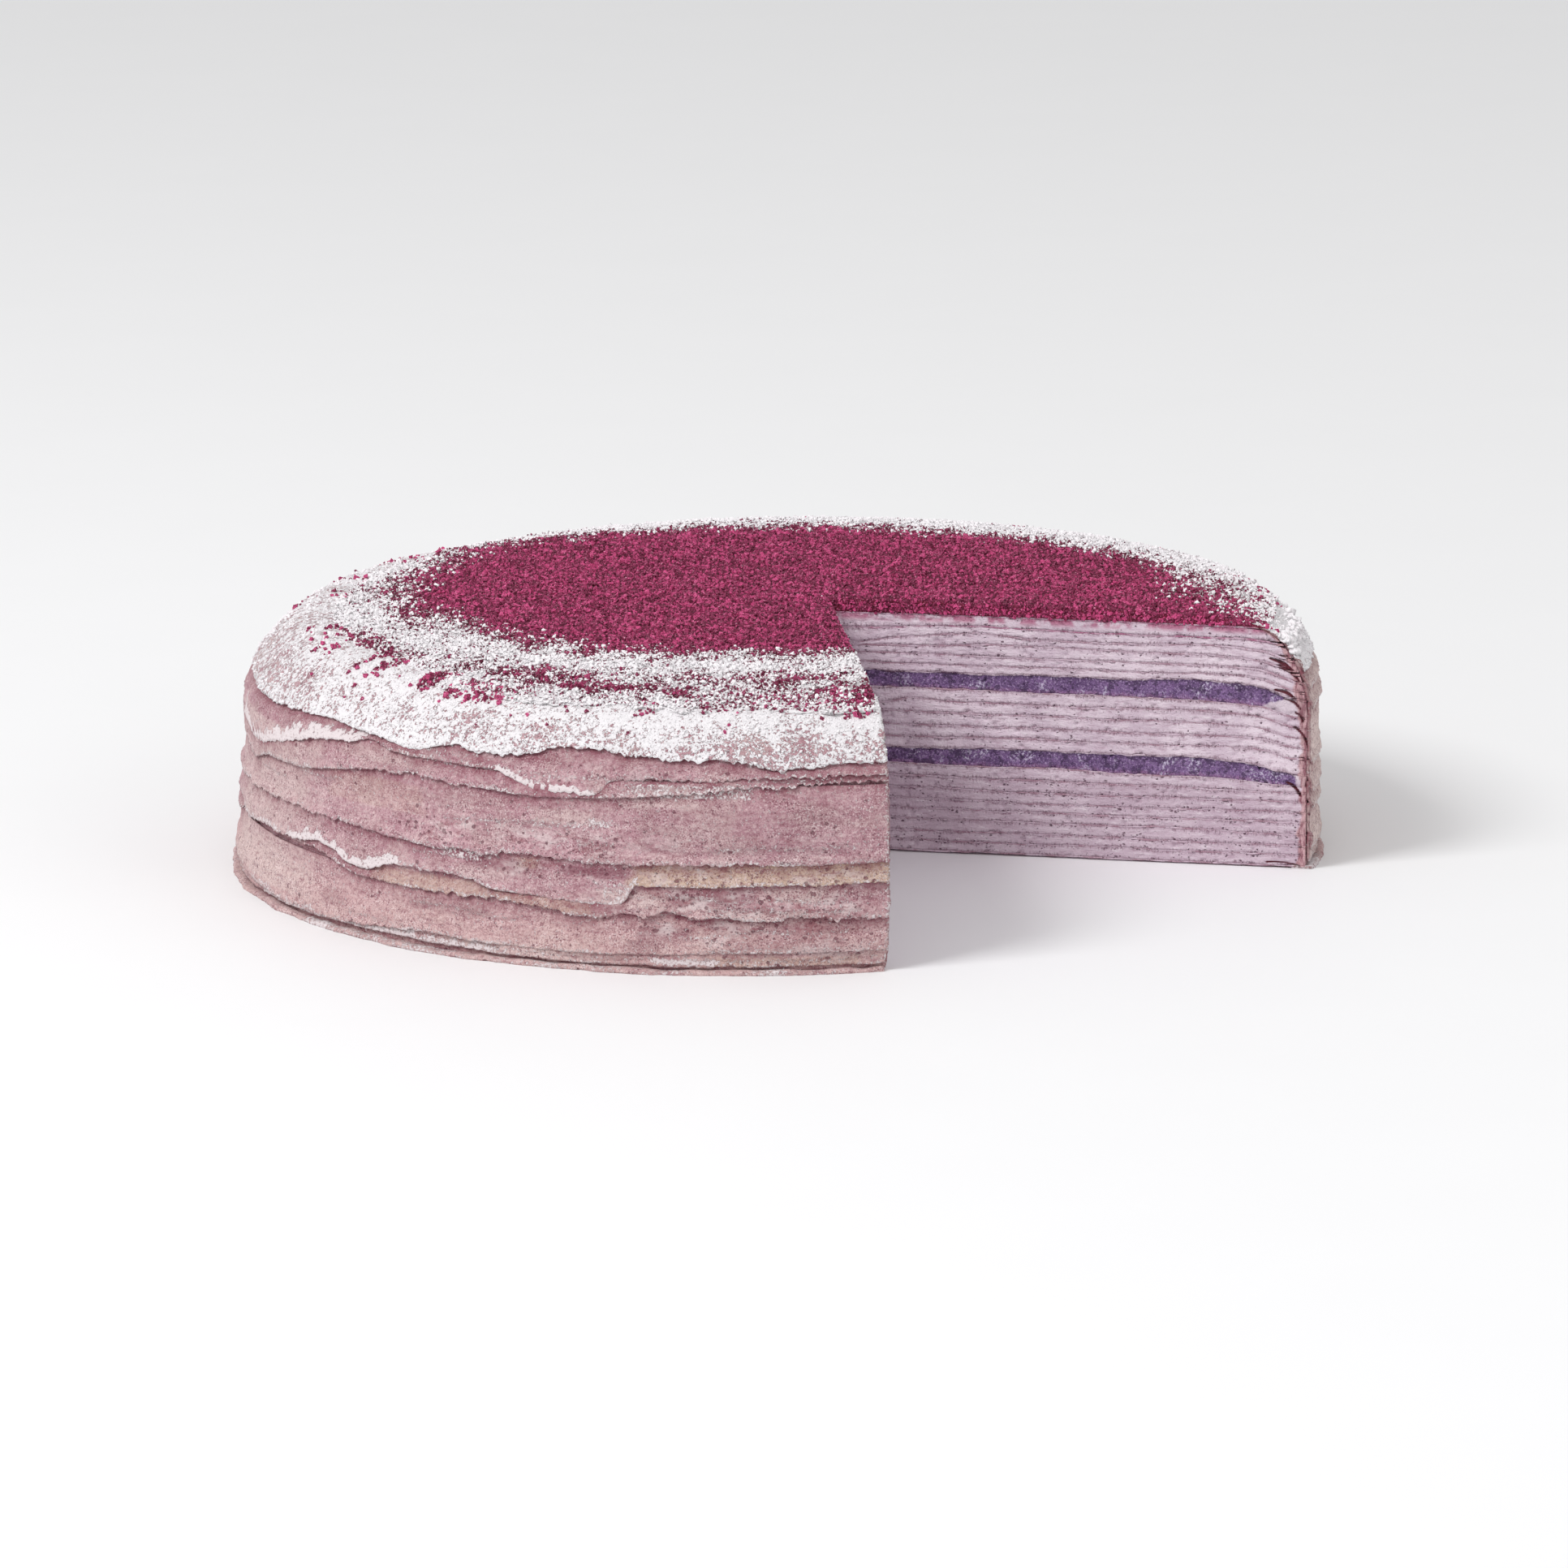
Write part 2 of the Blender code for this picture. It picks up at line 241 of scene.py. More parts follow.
# Where the skins have many holes: first and last angle, lowest and highest point in mm, strength
PORED = (
    (256, 279, 17.0, 22.6, 0.7),
    (256, 279, 8.0, 17.0, 1.0),
    (226, 254, 22.5, 27.5, 0.8),
    (240, 255, 18.0, 21.0, 0.8),
    (262, 279, 2.0, 8.0, 0.6),
    (248, 262, 9.5, 12.5, 0.8),
    (228, 262, 37.0, 41.0, 0.5),
    (255, 279, 24.0, 28.0, 0.35),
)

# Gaps on the right cut, where the skins fold, sunk in and coloured dark as painted shade: from (along, up) to (along,
# up), width, in mm
FOLD_GAPS = (
    (94.5, 44.3, 99.6, 41.4, 0.75),
    (96.5, 42.8, 100.6, 39.6, 0.45),
    (95.5, 37.7, 99.6, 36.0, 0.7),
    (97.5, 35.9, 100.8, 33.8, 0.4),
    (99.8, 33.0, 101.2, 31.2, 0.5),
    (99.6, 30.0, 102.2, 26.4, 0.55),
    (102.3, 21.2, 102.0, 17.6, 0.6),
    (98.0, 18.2, 100.8, 15.4, 0.6),
    (93.5, 1.1, 100.5, 0.5, 0.3),
)

# Bends of single crepes on the right cut: (mm along the cut, mm up or down)
CREPE_BENDS = {
    20: ((0, -2.0), (8, -1.9), (14, -0.9), (22, -0.2), (33, 0.5), (45, -0.1), (60, -0.4), (85, 0.0)),
    21: ((0, -1.4), (5, -1.1), (20, -0.3), (33, 0.3), (42, 0.0), (60, -0.3), (85, 0.0)),
    19: ((0, -0.6), (10, -0.2), (40, 0.3), (85, 0.0)),
    15: ((0, 0.0), (30, 0.2), (70, -0.3), (78, -0.2), (95, -0.3)),
    16: ((0, 0.1), (40, 0.3), (66, 0.1), (78, 1.0), (86, 0.5), (95, 0.2)),
    14: ((0, -0.6), (13, -0.8), (18, 0.3), (30, -0.1), (60, -0.2), (85, 0.0)),
    9: ((0, 0.0), (60, 0.0), (80, -0.2), (95, -1.2)),
    10: ((0, 0.1), (45, 0.4), (78, 0.5), (85, -0.1), (95, -0.9)),
}


# ---------------------------------------------------------------- noise

def lattice(ix, iy, iz, seed):
    """A number from 0 to 1 for every lattice point, the same on every run."""
    mixed = (ix * 73856093 ^ iy * 19349663 ^ iz * 83492791 ^ seed * 26544357) & 0xFFFFFFFF
    mixed = ((mixed ^ (mixed >> 15)) * 224682251) & 0xFFFFFFFF
    mixed = ((mixed ^ (mixed >> 13)) * 326648991) & 0xFFFFFFFF
    return (mixed ^ (mixed >> 16)) / 0xFFFFFFFF


def noise(points, size, seed):
    """Smooth noise from -1 to 1 whose bumps have about this size."""
    scaled = points / size
    low = np.floor(scaled).astype(np.int64)
    part = scaled - low
    part = part * part * (3 - 2 * part)
    total = np.zeros(len(points))
    for corner in itertools.product((0, 1), repeat=3):
        weight = np.ones(len(points))
        for axis, one in enumerate(corner):
            weight *= part[:, axis] if one else 1 - part[:, axis]
        total += weight * lattice(*(low + corner).T, seed)
    return 2 * total - 1


def rough(points, size, seed, octaves=3):
    """Noise with finer bumps on it, about from -1 to 1."""
    total = sum(noise(points, size / 2**step, seed + step) / 1.8**step for step in range(octaves))
    return total / sum(1 / 1.8**step for step in range(octaves))


def grains(points, size, seed):
    """Distance to the nearest of many scattered points, as a share of size, and a number for it."""
    scaled = points / size
    low = np.floor(scaled).astype(np.int64)
    best = np.full(len(points), 9.0)
    number = np.zeros(len(points))
    for offset in itertools.product((-1, 0, 1), repeat=3):
        cell = low + offset
        spot = np.stack([cell[:, axis] + lattice(*cell.T, seed + axis) for axis in range(3)], 1)
        away = np.linalg.norm(spot - scaled, axis=1)
        nearer = away < best
        best = np.where(nearer, away, best)
        number = np.where(nearer, lattice(*cell.T, seed + 7), number)
    return best, number


def smooth(value, start=0.0, end=1.0):
    """Rises smoothly from 0 at start to 1 at end."""
    share = np.clip((value - start) / (end - start), 0, 1)
    return share * share * (3 - 2 * share)


# ---------------------------------------------------------------- shape of the cake

def core_radius(height):
    radius = CORE_RADIUS - CORE_TAPER * np.clip(height / SHOULDER_HEIGHT, 0, 1)
    share = np.clip((height - SHOULDER_HEIGHT) / (STACK_TOP - SHOULDER_HEIGHT), 0, 1)
    return radius - SHOULDER_INSET * (1 - np.sqrt(1 - share**2))


def sag(radius, height, number=None):
    """How far a layer sinks where it nears the side. It sinks further past the ends of the paste below it."""
    outwards = np.clip((radius - SAG_START_RADIUS) / (CORE_RADIUS - SAG_START_RADIUS), 0, None)
    upwards = np.clip((height - SAG_START_HEIGHT) / (STACK_TOP - SAG_START_HEIGHT), 0, None)
    drop = SAG_AT_TOP * outwards**2 * upwards
    for first, most, start, end in PASTE_END_DROPS:
        if number is not None and number >= first:
            drop = drop + most * MM * smooth(radius, start * MM, end * MM)
    return drop * SAG_SHARES.get(number, 1.0)


def degrees_round(x, y):
    """Angle round the cake, from -90 to 270 degrees, so that it doesn't jump on the cake itself."""
    return (np.degrees(np.arctan2(y, x)) + 90) % 360 - 90 + 360 * 0


def spot_on(radius, angle, share, height):
    """(x, y) at a share of the way from the slice's tip to the round of this radius."""
    toward = np.stack(np.broadcast_arrays(np.cos(angle), np.sin(angle)), -1)
    start = np.stack(np.broadcast_arrays(TIP[0] - LEAN * height, TIP[1]), -1)
    across = (start * toward).sum(-1)
    reach_radius = radius
    for _ in range(3):
        length = -across + np.sqrt(across**2 - (start**2).sum(-1) + reach_radius**2)
        at = start + length[..., None] * toward
        turn = np.arctan2(at[..., 1], at[..., 0])
        wave = sum(size * np.sin(turns * turn + phase) for turns, phase, size in LUMPS)
        reach_radius = radius * (1 + wave * (radius / CORE_RADIUS) ** 3)
    return TIP + (share * length)[..., None] * toward


def crepe_top(number):
    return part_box(f"crepe_{number:02d}")[1].z


def bend(number, along):
    """How far one crepe strays from level on the right cut."""
    if number not in CREPE_BENDS:
        return 0.0
    at, up = np.array(CREPE_BENDS[number]).T * MM
    return np.interp(along, at, up)


def crepe_surface(number, x, y):
    """Height of a crepe's upper side: level, wavy, and sagging towards the side of the cake."""
    level = crepe_top(number)
    flat = np.stack([x, y, np.full_like(x, 0.031 * number)], 1)
    wander = 0.34 * MM * noise(flat, 26 * MM, 11) + 0.20 * MM * noise(flat, 9 * MM, 12)
    wander = wander + 0.10 * MM * noise(flat, 2.6 * MM, 13) + 0.10 * MM * noise(flat, 1.1 * MM, 14)
    wander = wander + 0.06 * MM * noise(flat, 0.55 * MM, 15)
    along = (x - TIP[0]) * math.cos(RIGHT_CUT) + (y - TIP[1]) * math.sin(RIGHT_CUT)
    across = -(x - TIP[0]) * math.sin(RIGHT_CUT) + (y - TIP[1]) * math.cos(RIGHT_CUT)
    wander = wander + bend(number, along) * smooth(-across, -30 * MM, -4 * MM) * (along > 0)
    settled = 0.25 if number in (1, CREPES) else 1.0
    return level + settled * wander - sag(np.hypot(x - LEAN * level, y), level, number)


def crepe_thickness(number, x, y):
    flat = np.stack([x, y, np.full_like(x, 0.047 * number)], 1)
    thickness = 0.30 * MM * (1 + 0.5 * noise(flat, 7 * MM, 21) + 0.4 * noise(flat, 1.6 * MM, 22))
    return np.maximum(thickness, 0.09 * MM)


# ---------------------------------------------------------------- meshes

def fill_mesh(name, points, quads, triangles):
    mesh = bpy.data.meshes.new(name)
    corners = np.concatenate([quads.ravel(), triangles.ravel()])
    sizes = np.concatenate([np.full(len(quads), 4), np.full(len(triangles), 3)])
    mesh.vertices.add(len(points))
    mesh.vertices.foreach_set("co", points.astype(np.float32).ravel())
    mesh.loops.add(len(corners))
    mesh.loops.foreach_set("vertex_index", corners.astype(np.int32))
    mesh.polygons.add(len(sizes))
    mesh.polygons.foreach_set("loop_start", np.cumsum(np.append(0, sizes[:-1])).astype(np.int32))
    mesh.update(calc_edges=True)
    mesh.validate()
    mesh.shade_smooth()
    return mesh


def add_attribute(mesh, name, values):
    mesh.attributes.new(name, "FLOAT", "POINT").data.foreach_set("value", values.astype(np.float32))


def grid_quads(rows, columns, wrap, start=0):
    """Faces between neighbouring points of a grid. Rows go up and columns go anticlockwise."""
    row, column = np.meshgrid(np.arange(rows - 1), np.arange(columns if wrap else columns - 1), indexing="ij")
    after = (column + 1) % columns
    quads = np.stack([row * columns + column, row * columns + after, (row + 1) * columns + after,
                      (row + 1) * columns + column], -1)
    return start + quads.reshape(-1, 4)


class Shell:
    """Closed skins that are gathered into one mesh, with the values its finish reads."""

    def __init__(self):
        self.points, self.quads, self.triangles, self.values = [], [], [], {}
        self.quad_finish, self.triangle_finish = [], []
        self.count = 0

    def add(self, points, quads, triangles, finish=0, **values):
        for name in set(values) | set(self.values):
            held = self.values.setdefault(name, [np.zeros(self.count)])
            held.append(np.asarray(values.get(name, np.zeros(len(points))), float))
        self.points.append(points)
        self.quads.append(quads + self.count)
        self.triangles.append(triangles + self.count)
        self.quad_finish.append(np.broadcast_to(finish, len(quads)))
        self.triangle_finish.append(np.full(len(triangles), np.min(finish)))
        self.count += len(points)

    def finish(self, name, *materials):
        mesh = fill_mesh(name, np.concatenate(self.points), np.concatenate(self.quads),
                         np.concatenate(self.triangles))
        for key, parts in self.values.items():
            add_attribute(mesh, key, np.concatenate(parts))
        for material in materials:
            mesh.materials.append(material)
        finishes = np.concatenate(self.quad_finish + self.triangle_finish)
        mesh.polygons.foreach_set("material_index", finishes.astype(np.int32))
        piece = bpy.data.objects.new(name, mesh)
        bpy.context.scene.collection.objects.link(piece)
        return piece


NO_FACES = np.zeros((0, 4), int)
NO_TRIANGLES = np.zeros((0, 3), int)


def outline(cut_step, side_step):
    """The way round a layer: out along the right cut, round the side, and back along the front cut.

    Returns each point's direction from the tip, its share of the way out, and which cut it is on.
    """
    out = np.linspace(0, 1, round(98 * MM / cut_step) + 1)[:-1]
    around = np.linspace(RIGHT_CUT, FRONT_CUT, round((FRONT_CUT - RIGHT_CUT) * 112 * MM / side_step) + 1)
    back = np.linspace(1, 0, round(114 * MM / cut_step) + 1)[1:-1]
    angle = np.concatenate([np.full(len(out), RIGHT_CUT), around, np.full(len(back), FRONT_CUT)])
    share = np.concatenate([out, np.ones(len(around)), back])
    cut = np.concatenate([np.full(len(out), 1), np.zeros(len(around)), np.full(len(back), 2)])
    cut[0] = 0
    cut[len(out)] = 1
    cut[len(out) + len(around) - 1] = 2
    return angle, share, cut


GAP_DEPTH = 0.55 * MM
GATHERED = ((0, 2.6), (2.5, 1.4), (30, 1.4), (36, 2.0), (42, 1.7), (46, 0.9), (50, 0.4))  # height and width in mm of the skins at a cut's end
PASTE_ENDS = {9: (99.0, -1.5), 15: (98.0, 5.0)}  # mm along the right cut, and how much its lower side ends before that


def gap_depth(along, up):
    """How deep the dark gaps between the folded skins go, on the right cut."""
    depth = np.zeros(len(along))
    for start_along, start_up, end_along, end_up, width in FOLD_GAPS:
        start = np.array((start_along, start_up)) * MM
        run = np.array((end_along, end_up)) * MM - start
        offset = np.stack([along, up], 1) - start
        share = np.clip(offset @ run / (run @ run), 0, 1)
        bow = 0.5 * MM * np.sin(share * math.pi)
        away = np.linalg.norm(offset - share[:, None] * run - np.array((0.4, 0.8)) * bow[:, None], axis=1)
        half = 0.5 * width * MM * (0.35 + 0.65 * np.sin(math.pi * np.clip(share * 0.9 + 0.08, 0, 1)))
        depth = np.maximum(depth, GAP_DEPTH * smooth(-away, -half - 0.25 * MM, -half * 0.4))
    return depth


def front_bulge(height):
    """How far the front cut swells out of its plane at a height."""
    return np.interp(height, *np.array(FRONT_CUT_BULGE).T * MM)


def cut_relief(points, cut, share, within, soft):
    """How far a cut side stands out of its plane. within runs from 0 at a layer's base to 1 at its top."""
    along = np.hypot(points[:, 0] - TIP[0], points[:, 1] - TIP[1])
    on_cut = np.stack([along, points[:, 2], 0.05 * cut], 1)
    swell = np.sqrt(np.clip(np.sin(math.pi * within), 0, 1))
    relief = 0.07 * MM * swell if soft else np.full(len(points), -0.03 * MM)
    relief = relief + 0.15 * MM * rough(on_cut * np.array((0.55, 1, 1)), 1.5 * MM, 31)
    relief = relief + 0.16 * MM * noise(on_cut * np.array((0.4, 1, 1)), 9 * MM, 35)
    if soft:
        distance, number = grains(on_cut * np.array((0.8, 1, 1)), 1.5 * MM, 41)
        relief = relief - 0.42 * MM * smooth(-distance, -0.42, -0.15) * (number > 0.62)
    near_end = smooth(share, 0.975, 0.99)
    relief = relief + near_end * 0.30 * MM * noise(on_cut * np.array((1, 0.2, 1)), 0.6 * MM, 44)
    relief = relief - gap_depth(along, points[:, 2]) * (cut == 1)
    relief = relief * (cut > 0)
    return relief + front_bulge(points[:, 2]) * (cut == 2) * smooth(share, 0.0, 0.5)


CUT_NORMALS = np.array([(0, 0), (math.sin(RIGHT_CUT), -math.cos(RIGHT_CUT)),
                        (-math.sin(FRONT_CUT), math.cos(FRONT_CUT))])


def layer_shell(shell, bottom_at, top_at, level, rows, soft, way, setback=0.0, ends=(1000.0, 0.0)):
    """One flat layer between two surfaces, closed above and below with a fan from a hub."""
    angle, share, cut = way
    columns = len(angle)
    first = spot_on(core_radius(level) - setback, angle, share, level)
    low, high = bottom_at(*first.T), top_at(*first.T)
    high = np.maximum(high, low + 0.08 * MM)
    within = np.linspace(0, 1, rows + 1)[:, None] * np.ones(columns)
    height = low + within * (high - low)
    height = np.maximum(height, 0.02 * MM)
    flat = [value.ravel() for value in np.broadcast_arrays(angle, share, cut, within, height)]
    angles, shares, cuts, withins, heights = flat
    at = spot_on(core_radius(heights) - setback, angles, shares, heights)
    points = np.column_stack([at, heights])
    out = cut_relief(points, cuts, shares, withins, soft)
    points[:, :2] += out[:, None] * CUT_NORMALS[cuts.astype(int)]
    hub_low, hub_high = (float(surface(*HUB[:, None])[0]) for surface in (bottom_at, top_at))
    ring = np.arange(columns)
    after = (ring + 1) % columns
    last = rows * columns
    low_hub, high_hub = len(points), len(points) + 1
    points = np.vstack([points, (*HUB, max(hub_low, 0.02 * MM)), (*HUB, max(hub_high, hub_low + 0.1 * MM))])
    triangles = np.concatenate([
        np.column_stack([after, ring, np.full(columns, low_hub)]),
        np.column_stack([last + ring, last + after, np.full(columns, high_hub)]),
    ])
    on_side = (share == 1) & (share[after] == 1)
    along = np.hypot(*(points[:-2, :2] - TIP).T)
    reach = np.hypot(*(spot_on(core_radius(heights), angles, np.ones(len(heights)), heights) - TIP).T)
    on_cut = np.column_stack([along, heights, cuts])
    width = np.interp(heights, *np.array(GATHERED).T * MM)
    width = width * (1 + 0.45 * noise(on_cut, 2.5 * MM, 47) + 0.25 * noise(on_cut, 0.8 * MM, 48))
    values = {
        "seam": np.abs(2 * withins - 1),
        "within": withins,
        # depth of the fold gaps, which the finishes colour dark as painted shade
        "pit": gap_depth(along, heights) / GAP_DEPTH * (cuts == 1),
        "gathered": smooth(along - reach + width, -0.15 * MM, 0.15 * MM) * (cuts > 0),
        # painted shadow: a layer's outer wall shows only in the gaps under the hems, so its skin finish is darkened
        "shade": np.full(len(heights), 0.75),
        "ended": smooth(along - (ends[0] - ends[1] * (1 - withins)) * MM + 1.0 * MM * rough(on_cut, 1.5 * MM, 49),
                        -0.2 * MM, 0.3 * MM),
    }
    shell.add(points, grid_quads(rows + 1, columns, True), triangles,
              finish=np.tile(on_side.astype(int), rows), **{key: np.append(value, (0, 0)) for key, value in values.items()})


# ---------------------------------------------------------------- skins down the side

PROFILE_HEIGHTS = SHOULDER_HEIGHT + (STACK_TOP - SHOULDER_HEIGHT) * np.sin(np.linspace(math.pi / 2, 0, 160))
PROFILE_HEIGHTS = np.concatenate([PROFILE_HEIGHTS, np.linspace(SHOULDER_HEIGHT, 0, 80)[1:]])
PROFILE = np.column_stack([core_radius(PROFILE_HEIGHTS), PROFILE_HEIGHTS])
PROFILE_LENGTH = np.append(0, np.cumsum(np.linalg.norm(np.diff(PROFILE, axis=0), axis=1)))


def way_down(height):
    """Distance down the side of the cake, from the rim of its top to this height."""
    return np.interp(-height, -PROFILE[:, 1], PROFILE_LENGTH)


def side_at(distance):
    """(radius, height) and the outward (radius, height) direction at a distance down the side."""
    radius = np.interp(distance, PROFILE_LENGTH, PROFILE[:, 0])
    height = np.interp(distance, PROFILE_LENGTH, PROFILE[:, 1])
    step = 0.4 * MM
    ahead = [np.interp(distance + step, PROFILE_LENGTH, PROFILE[:, axis]) for axis in (0, 1)]
    behind = [np.interp(distance - step, PROFILE_LENGTH, PROFILE[:, axis]) for axis in (0, 1)]
    run = np.stack([ahead[0] - behind[0], ahead[1] - behind[1]], -1)
    run /= np.linalg.norm(run, axis=-1, keepdims=True)
    return radius, height, -run[..., 1], run[..., 0]


def edge_height(number, turn):
    """Height of a wide crepe's ragged lower edge at an angle in degrees."""
    ring = np.column_stack([np.radians(turn), np.full(len(turn), 0.37 * number), np.zeros(len(turn))])
    broad = 0.8 * rough(ring, math.radians(34), 51) + 0.5 * noise(ring, math.radians(9), 54)
    usual = USUAL_EDGES[number] + broad * (0.35 if number < 9 else 1.0)
    traced = np.interp(turn, *np.array(EDGES[number]).T)
    known = smooth(turn, EDGE_TABLE_SPAN[0] - 14, EDGE_TABLE_SPAN[0])
    height = traced * known + usual * (1 - known)
    torn = 0.5 + 0.9 * smooth(noise(ring, math.radians(12), 59), -0.3, 0.5)
    height += torn * (0.34 * rough(ring, math.radians(1.7), 57) + 0.28 * rough(ring, math.radians(0.6), 58))
    height += torn * 0.26 * noise(ring, math.radians(0.24), 60)
    return np.maximum(height, 0.25) * MM


def skin_start(number, turn):
    """Height where a wide crepe's skin starts, by angle in degrees."""
    level = crepe_top(number)
    radius = core_radius(level)
    for _ in range(6):
        radius = core_radius(level - sag(radius, level, number))
    start = float(level - sag(radius, level, number))
    return start + np.interp(turn, *np.array(SKINS_START_HIGHER.get(number, ((0, 0.0),))).T) * MM


def patch_strength(finish, number, turn, height, wobble):
    """How strongly a patch finish covers each point of a crepe, from 0 to 1."""
    total = np.zeros(len(turn))
    for kind, first, last, low, high, strength, *wearer in PATCHES:
        if kind != finish or wearer and wearer != [number]:
            continue
        fading = 0.34 * (last - first) if finish == "pale" else 1.3
        sideways = np.minimum(turn - first, last - turn) + (1.2 + 0.25 * fading) * wobble
        upright = np.minimum(height - low * MM, high * MM - height) / MM + 0.45 * wobble
        total = np.maximum(total, strength * smooth(sideways, -0.5, fading - 0.5) * smooth(upright, -0.2, 0.35))
    return total


def skin_shell(shell, number, step):
    """A wide crepe's hanging skirt: a thin sheet with a ragged edge, over the fold of the next one."""
    place = WIDE_CREPES.index(number)
    turns = np.radians(np.concatenate([
        np.arange(math.degrees(RIGHT_CUT), 186, math.degrees(1.9 * step / CORE_RADIUS)),
        np.arange(186, math.degrees(FRONT_CUT), math.degrees(step / CORE_RADIUS)),
    ]))
    turns[-1] = FRONT_CUT
    columns = len(turns)
    ends = spot_on(CORE_RADIUS, turns, 1.0, 0.02)
    turn = degrees_round(*ends.T)
    turn = np.where(turn < -60, turn + 360, turn)
    edge = edge_height(number, turn)
    top = skin_start(number, turn) if number < CREPES else np.full(columns, STACK_TOP - 0.3 * MM)
    above = edge_height(WIDE_CREPES[place + 1], turn) if number < CREPES else np.full(columns, 1.0)
    top = np.maximum(top, edge + 0.5 * MM)
    start, end = way_down(top), way_down(edge)
    if number == CREPES:
        start = np.full(columns, -6 * MM)
    rows = max(8, int(np.median(end - start) / step))
    within = np.linspace(0, 1, rows + 1)[:, None] * np.ones(columns)
    distance = (start + within * (end - start)).ravel()
    angles = np.tile(turns, rows + 1)
    degrees = np.tile(turn, rows + 1)
    count_all = len(angles)
    radius, height, out_r, out_z = side_at(np.maximum(distance, 0))
    radius = radius + np.minimum(distance, 0)
    below_start = skin_start(WIDE_CREPES[place - 1], degrees) if place else -1.0
    thickness = 0.5 * MM
    edge_near = smooth(-np.abs(distance - np.tile(end, rows + 1)), -1.6 * MM, 0)
    over = smooth(-height, -below_start - 1.0 * MM, -below_start + 0.6 * MM)
    lining = 0.04 * MM + over * (thickness + 0.08 * MM)
    around = np.column_stack([CORE_RADIUS * np.cos(angles), CORE_RADIUS * np.sin(angles), height])
    lift = 0.22 * MM * (2.0 + noise(around * np.array((1, 1, 0.02)), 7 * MM, 60 + number))
    lining += edge_near * lift
    bumps = 0.18 * MM * rough(around * np.array((1, 1, 1.5)), 7 * MM, 71, 2)
    wrinkled = 0.3 + 0.7 * smooth(noise(around, 15 * MM, 72), -0.1, 0.5)
    bumps += 0.24 * MM * wrinkled * rough(around * np.array((0.32, 0.32, 1.3)), 2.6 * MM, 73)
    bumps += 0.30 * MM * rough(around, 1.2 * MM, 78) * smooth(-degrees, -14, 4) * smooth(degrees, -30, -15)
    fuller = smooth(height, 29 * MM, 38 * MM) * smooth(degrees, 118, 150) * smooth(-degrees, -238, -208)
    bumps += 1.15 * MM * fuller * smooth(distance, -5.5 * MM, -1 * MM)
    own = around + np.array((0, 0, 0.1 * number))
    bumps += 0.07 * MM * rough(own, 1.3 * MM, 75)
    bumps += edge_near * 0.16 * MM * noise(around * np.array((1, 1, 0.3)), 0.9 * MM, 79)
    seated = smooth(height, 0.0, 2 * MM)
    from_cut = np.minimum(angles - RIGHT_CUT, FRONT_CUT - angles) * CORE_RADIUS
    at_cut = np.exp(-from_cut / (1.2 * MM))
    at_right_cut = np.exp(-(angles - RIGHT_CUT) * CORE_RADIUS / (1.2 * MM))
    at_front_cut = np.exp(-(FRONT_CUT - angles) * CORE_RADIUS / (0.7 * MM))
    sheet_thickness = thickness * (1 - 0.65 * edge_near) * (1 + 0.5 * at_cut)
    strays = 0.35 * MM * rough(around * np.array((0, 0, 1)) + 0.01 * number, 0.9 * MM, 67) / CORE_RADIUS
    ragged_angles = angles + strays * np.exp(-from_cut / (0.6 * MM))
    steps = np.zeros(count_all)
    lines = np.zeros(count_all)
    for wearer, rise, table in STEPS_ON_SKINS:
        if wearer == number:
            at, up = np.array(table).T
            line = np.interp(degrees, at, up) * MM + 0.25 * MM * rough(around * np.array((1, 1, 0)), 1.5 * MM, 63)
            held = smooth(degrees, at[0], at[0] + 1.5) * smooth(-degrees, -at[-1], 1.5 - at[-1])
            above_line = smooth(height - line, -0.12 * MM, 0.15 * MM) * smooth(-(height - line), -3.2 * MM, -0.5 * MM)
            steps = np.maximum(steps, rise * MM * above_line * held)
            lines = np.maximum(lines, held * np.exp(-np.abs(height - line) / (0.35 * MM)))
    if number == CREPES:
        lumpy = smooth(height, 40 * MM, 44 * MM)
        distance_to, size = grains(own, 0.9 * MM, 81)
        bumps += lumpy * 0.22 * MM * np.clip(0.8 - distance_to, 0, 1) * size
        bumps += lumpy * 0.12 * MM * rough(own, 2.2 * MM, 85)
    inner_out = lining + bumps * seated + steps
    shells = []
    for offset in (inner_out + sheet_thickness, inner_out):
        at_height = np.maximum(height + out_z * offset, 0.05 * MM)
        at = spot_on(radius + out_r * offset, ragged_angles, 1.0, at_height)
        beyond = front_bulge(at_height) * np.exp(-(FRONT_CUT - angles) * CORE_RADIUS / (5 * MM))
        shells.append(np.column_stack([at + beyond[:, None] * CUT_NORMALS[2], at_height]))
    count = len(shells[0])
    kept = sorted({*range(0, rows, 8), max(rows - 6, 0), rows - 3, rows})
    shells[1] = shells[1].reshape(rows + 1, columns, 3)[kept].reshape(-1, 3)
    points = np.vstack(shells)
    outer = grid_quads(rows + 1, columns, False)[:, ::-1]
    inner = grid_quads(len(kept), columns, False, count)
    column = np.arange(columns - 1)
    last, inner_last = rows * columns, count + (len(kept) - 1) * columns
    rims = [np.column_stack([column, column + 1, column + 1 + count, column + count]),
            np.column_stack([last + column, inner_last + column, inner_last + column + 1, last + column + 1])]
    fans = []
    for place_in, (first_row, last_row) in enumerate(itertools.pairwise(kept)):
        for side in (0, columns - 1):
            near = count + place_in * columns + side
            steps_down = [(row * columns + side, near, (row + 1) * columns + side) for row in range(first_row, last_row)]
            steps_down.append((near, near + columns, last_row * columns + side))
            fans += steps_down if side == 0 else [face[::-1] for face in steps_down]
    wobble = rough(around, 3 * MM, 91)
    up_from_edge = np.abs(distance - np.tile(end, rows + 1))
    down_from_above = distance - np.tile(way_down(above), rows + 1)
    hem = np.zeros(count)
    for wearer, first, final, reach, strength in WHITE_HEMS:
        if wearer == number:
            sideways = smooth(np.minimum(degrees - first, final - degrees) + 1.2 * wobble, -0.6, 1.2)
            flecked = 0.5 * noise(around, 1.1 * MM, 96)
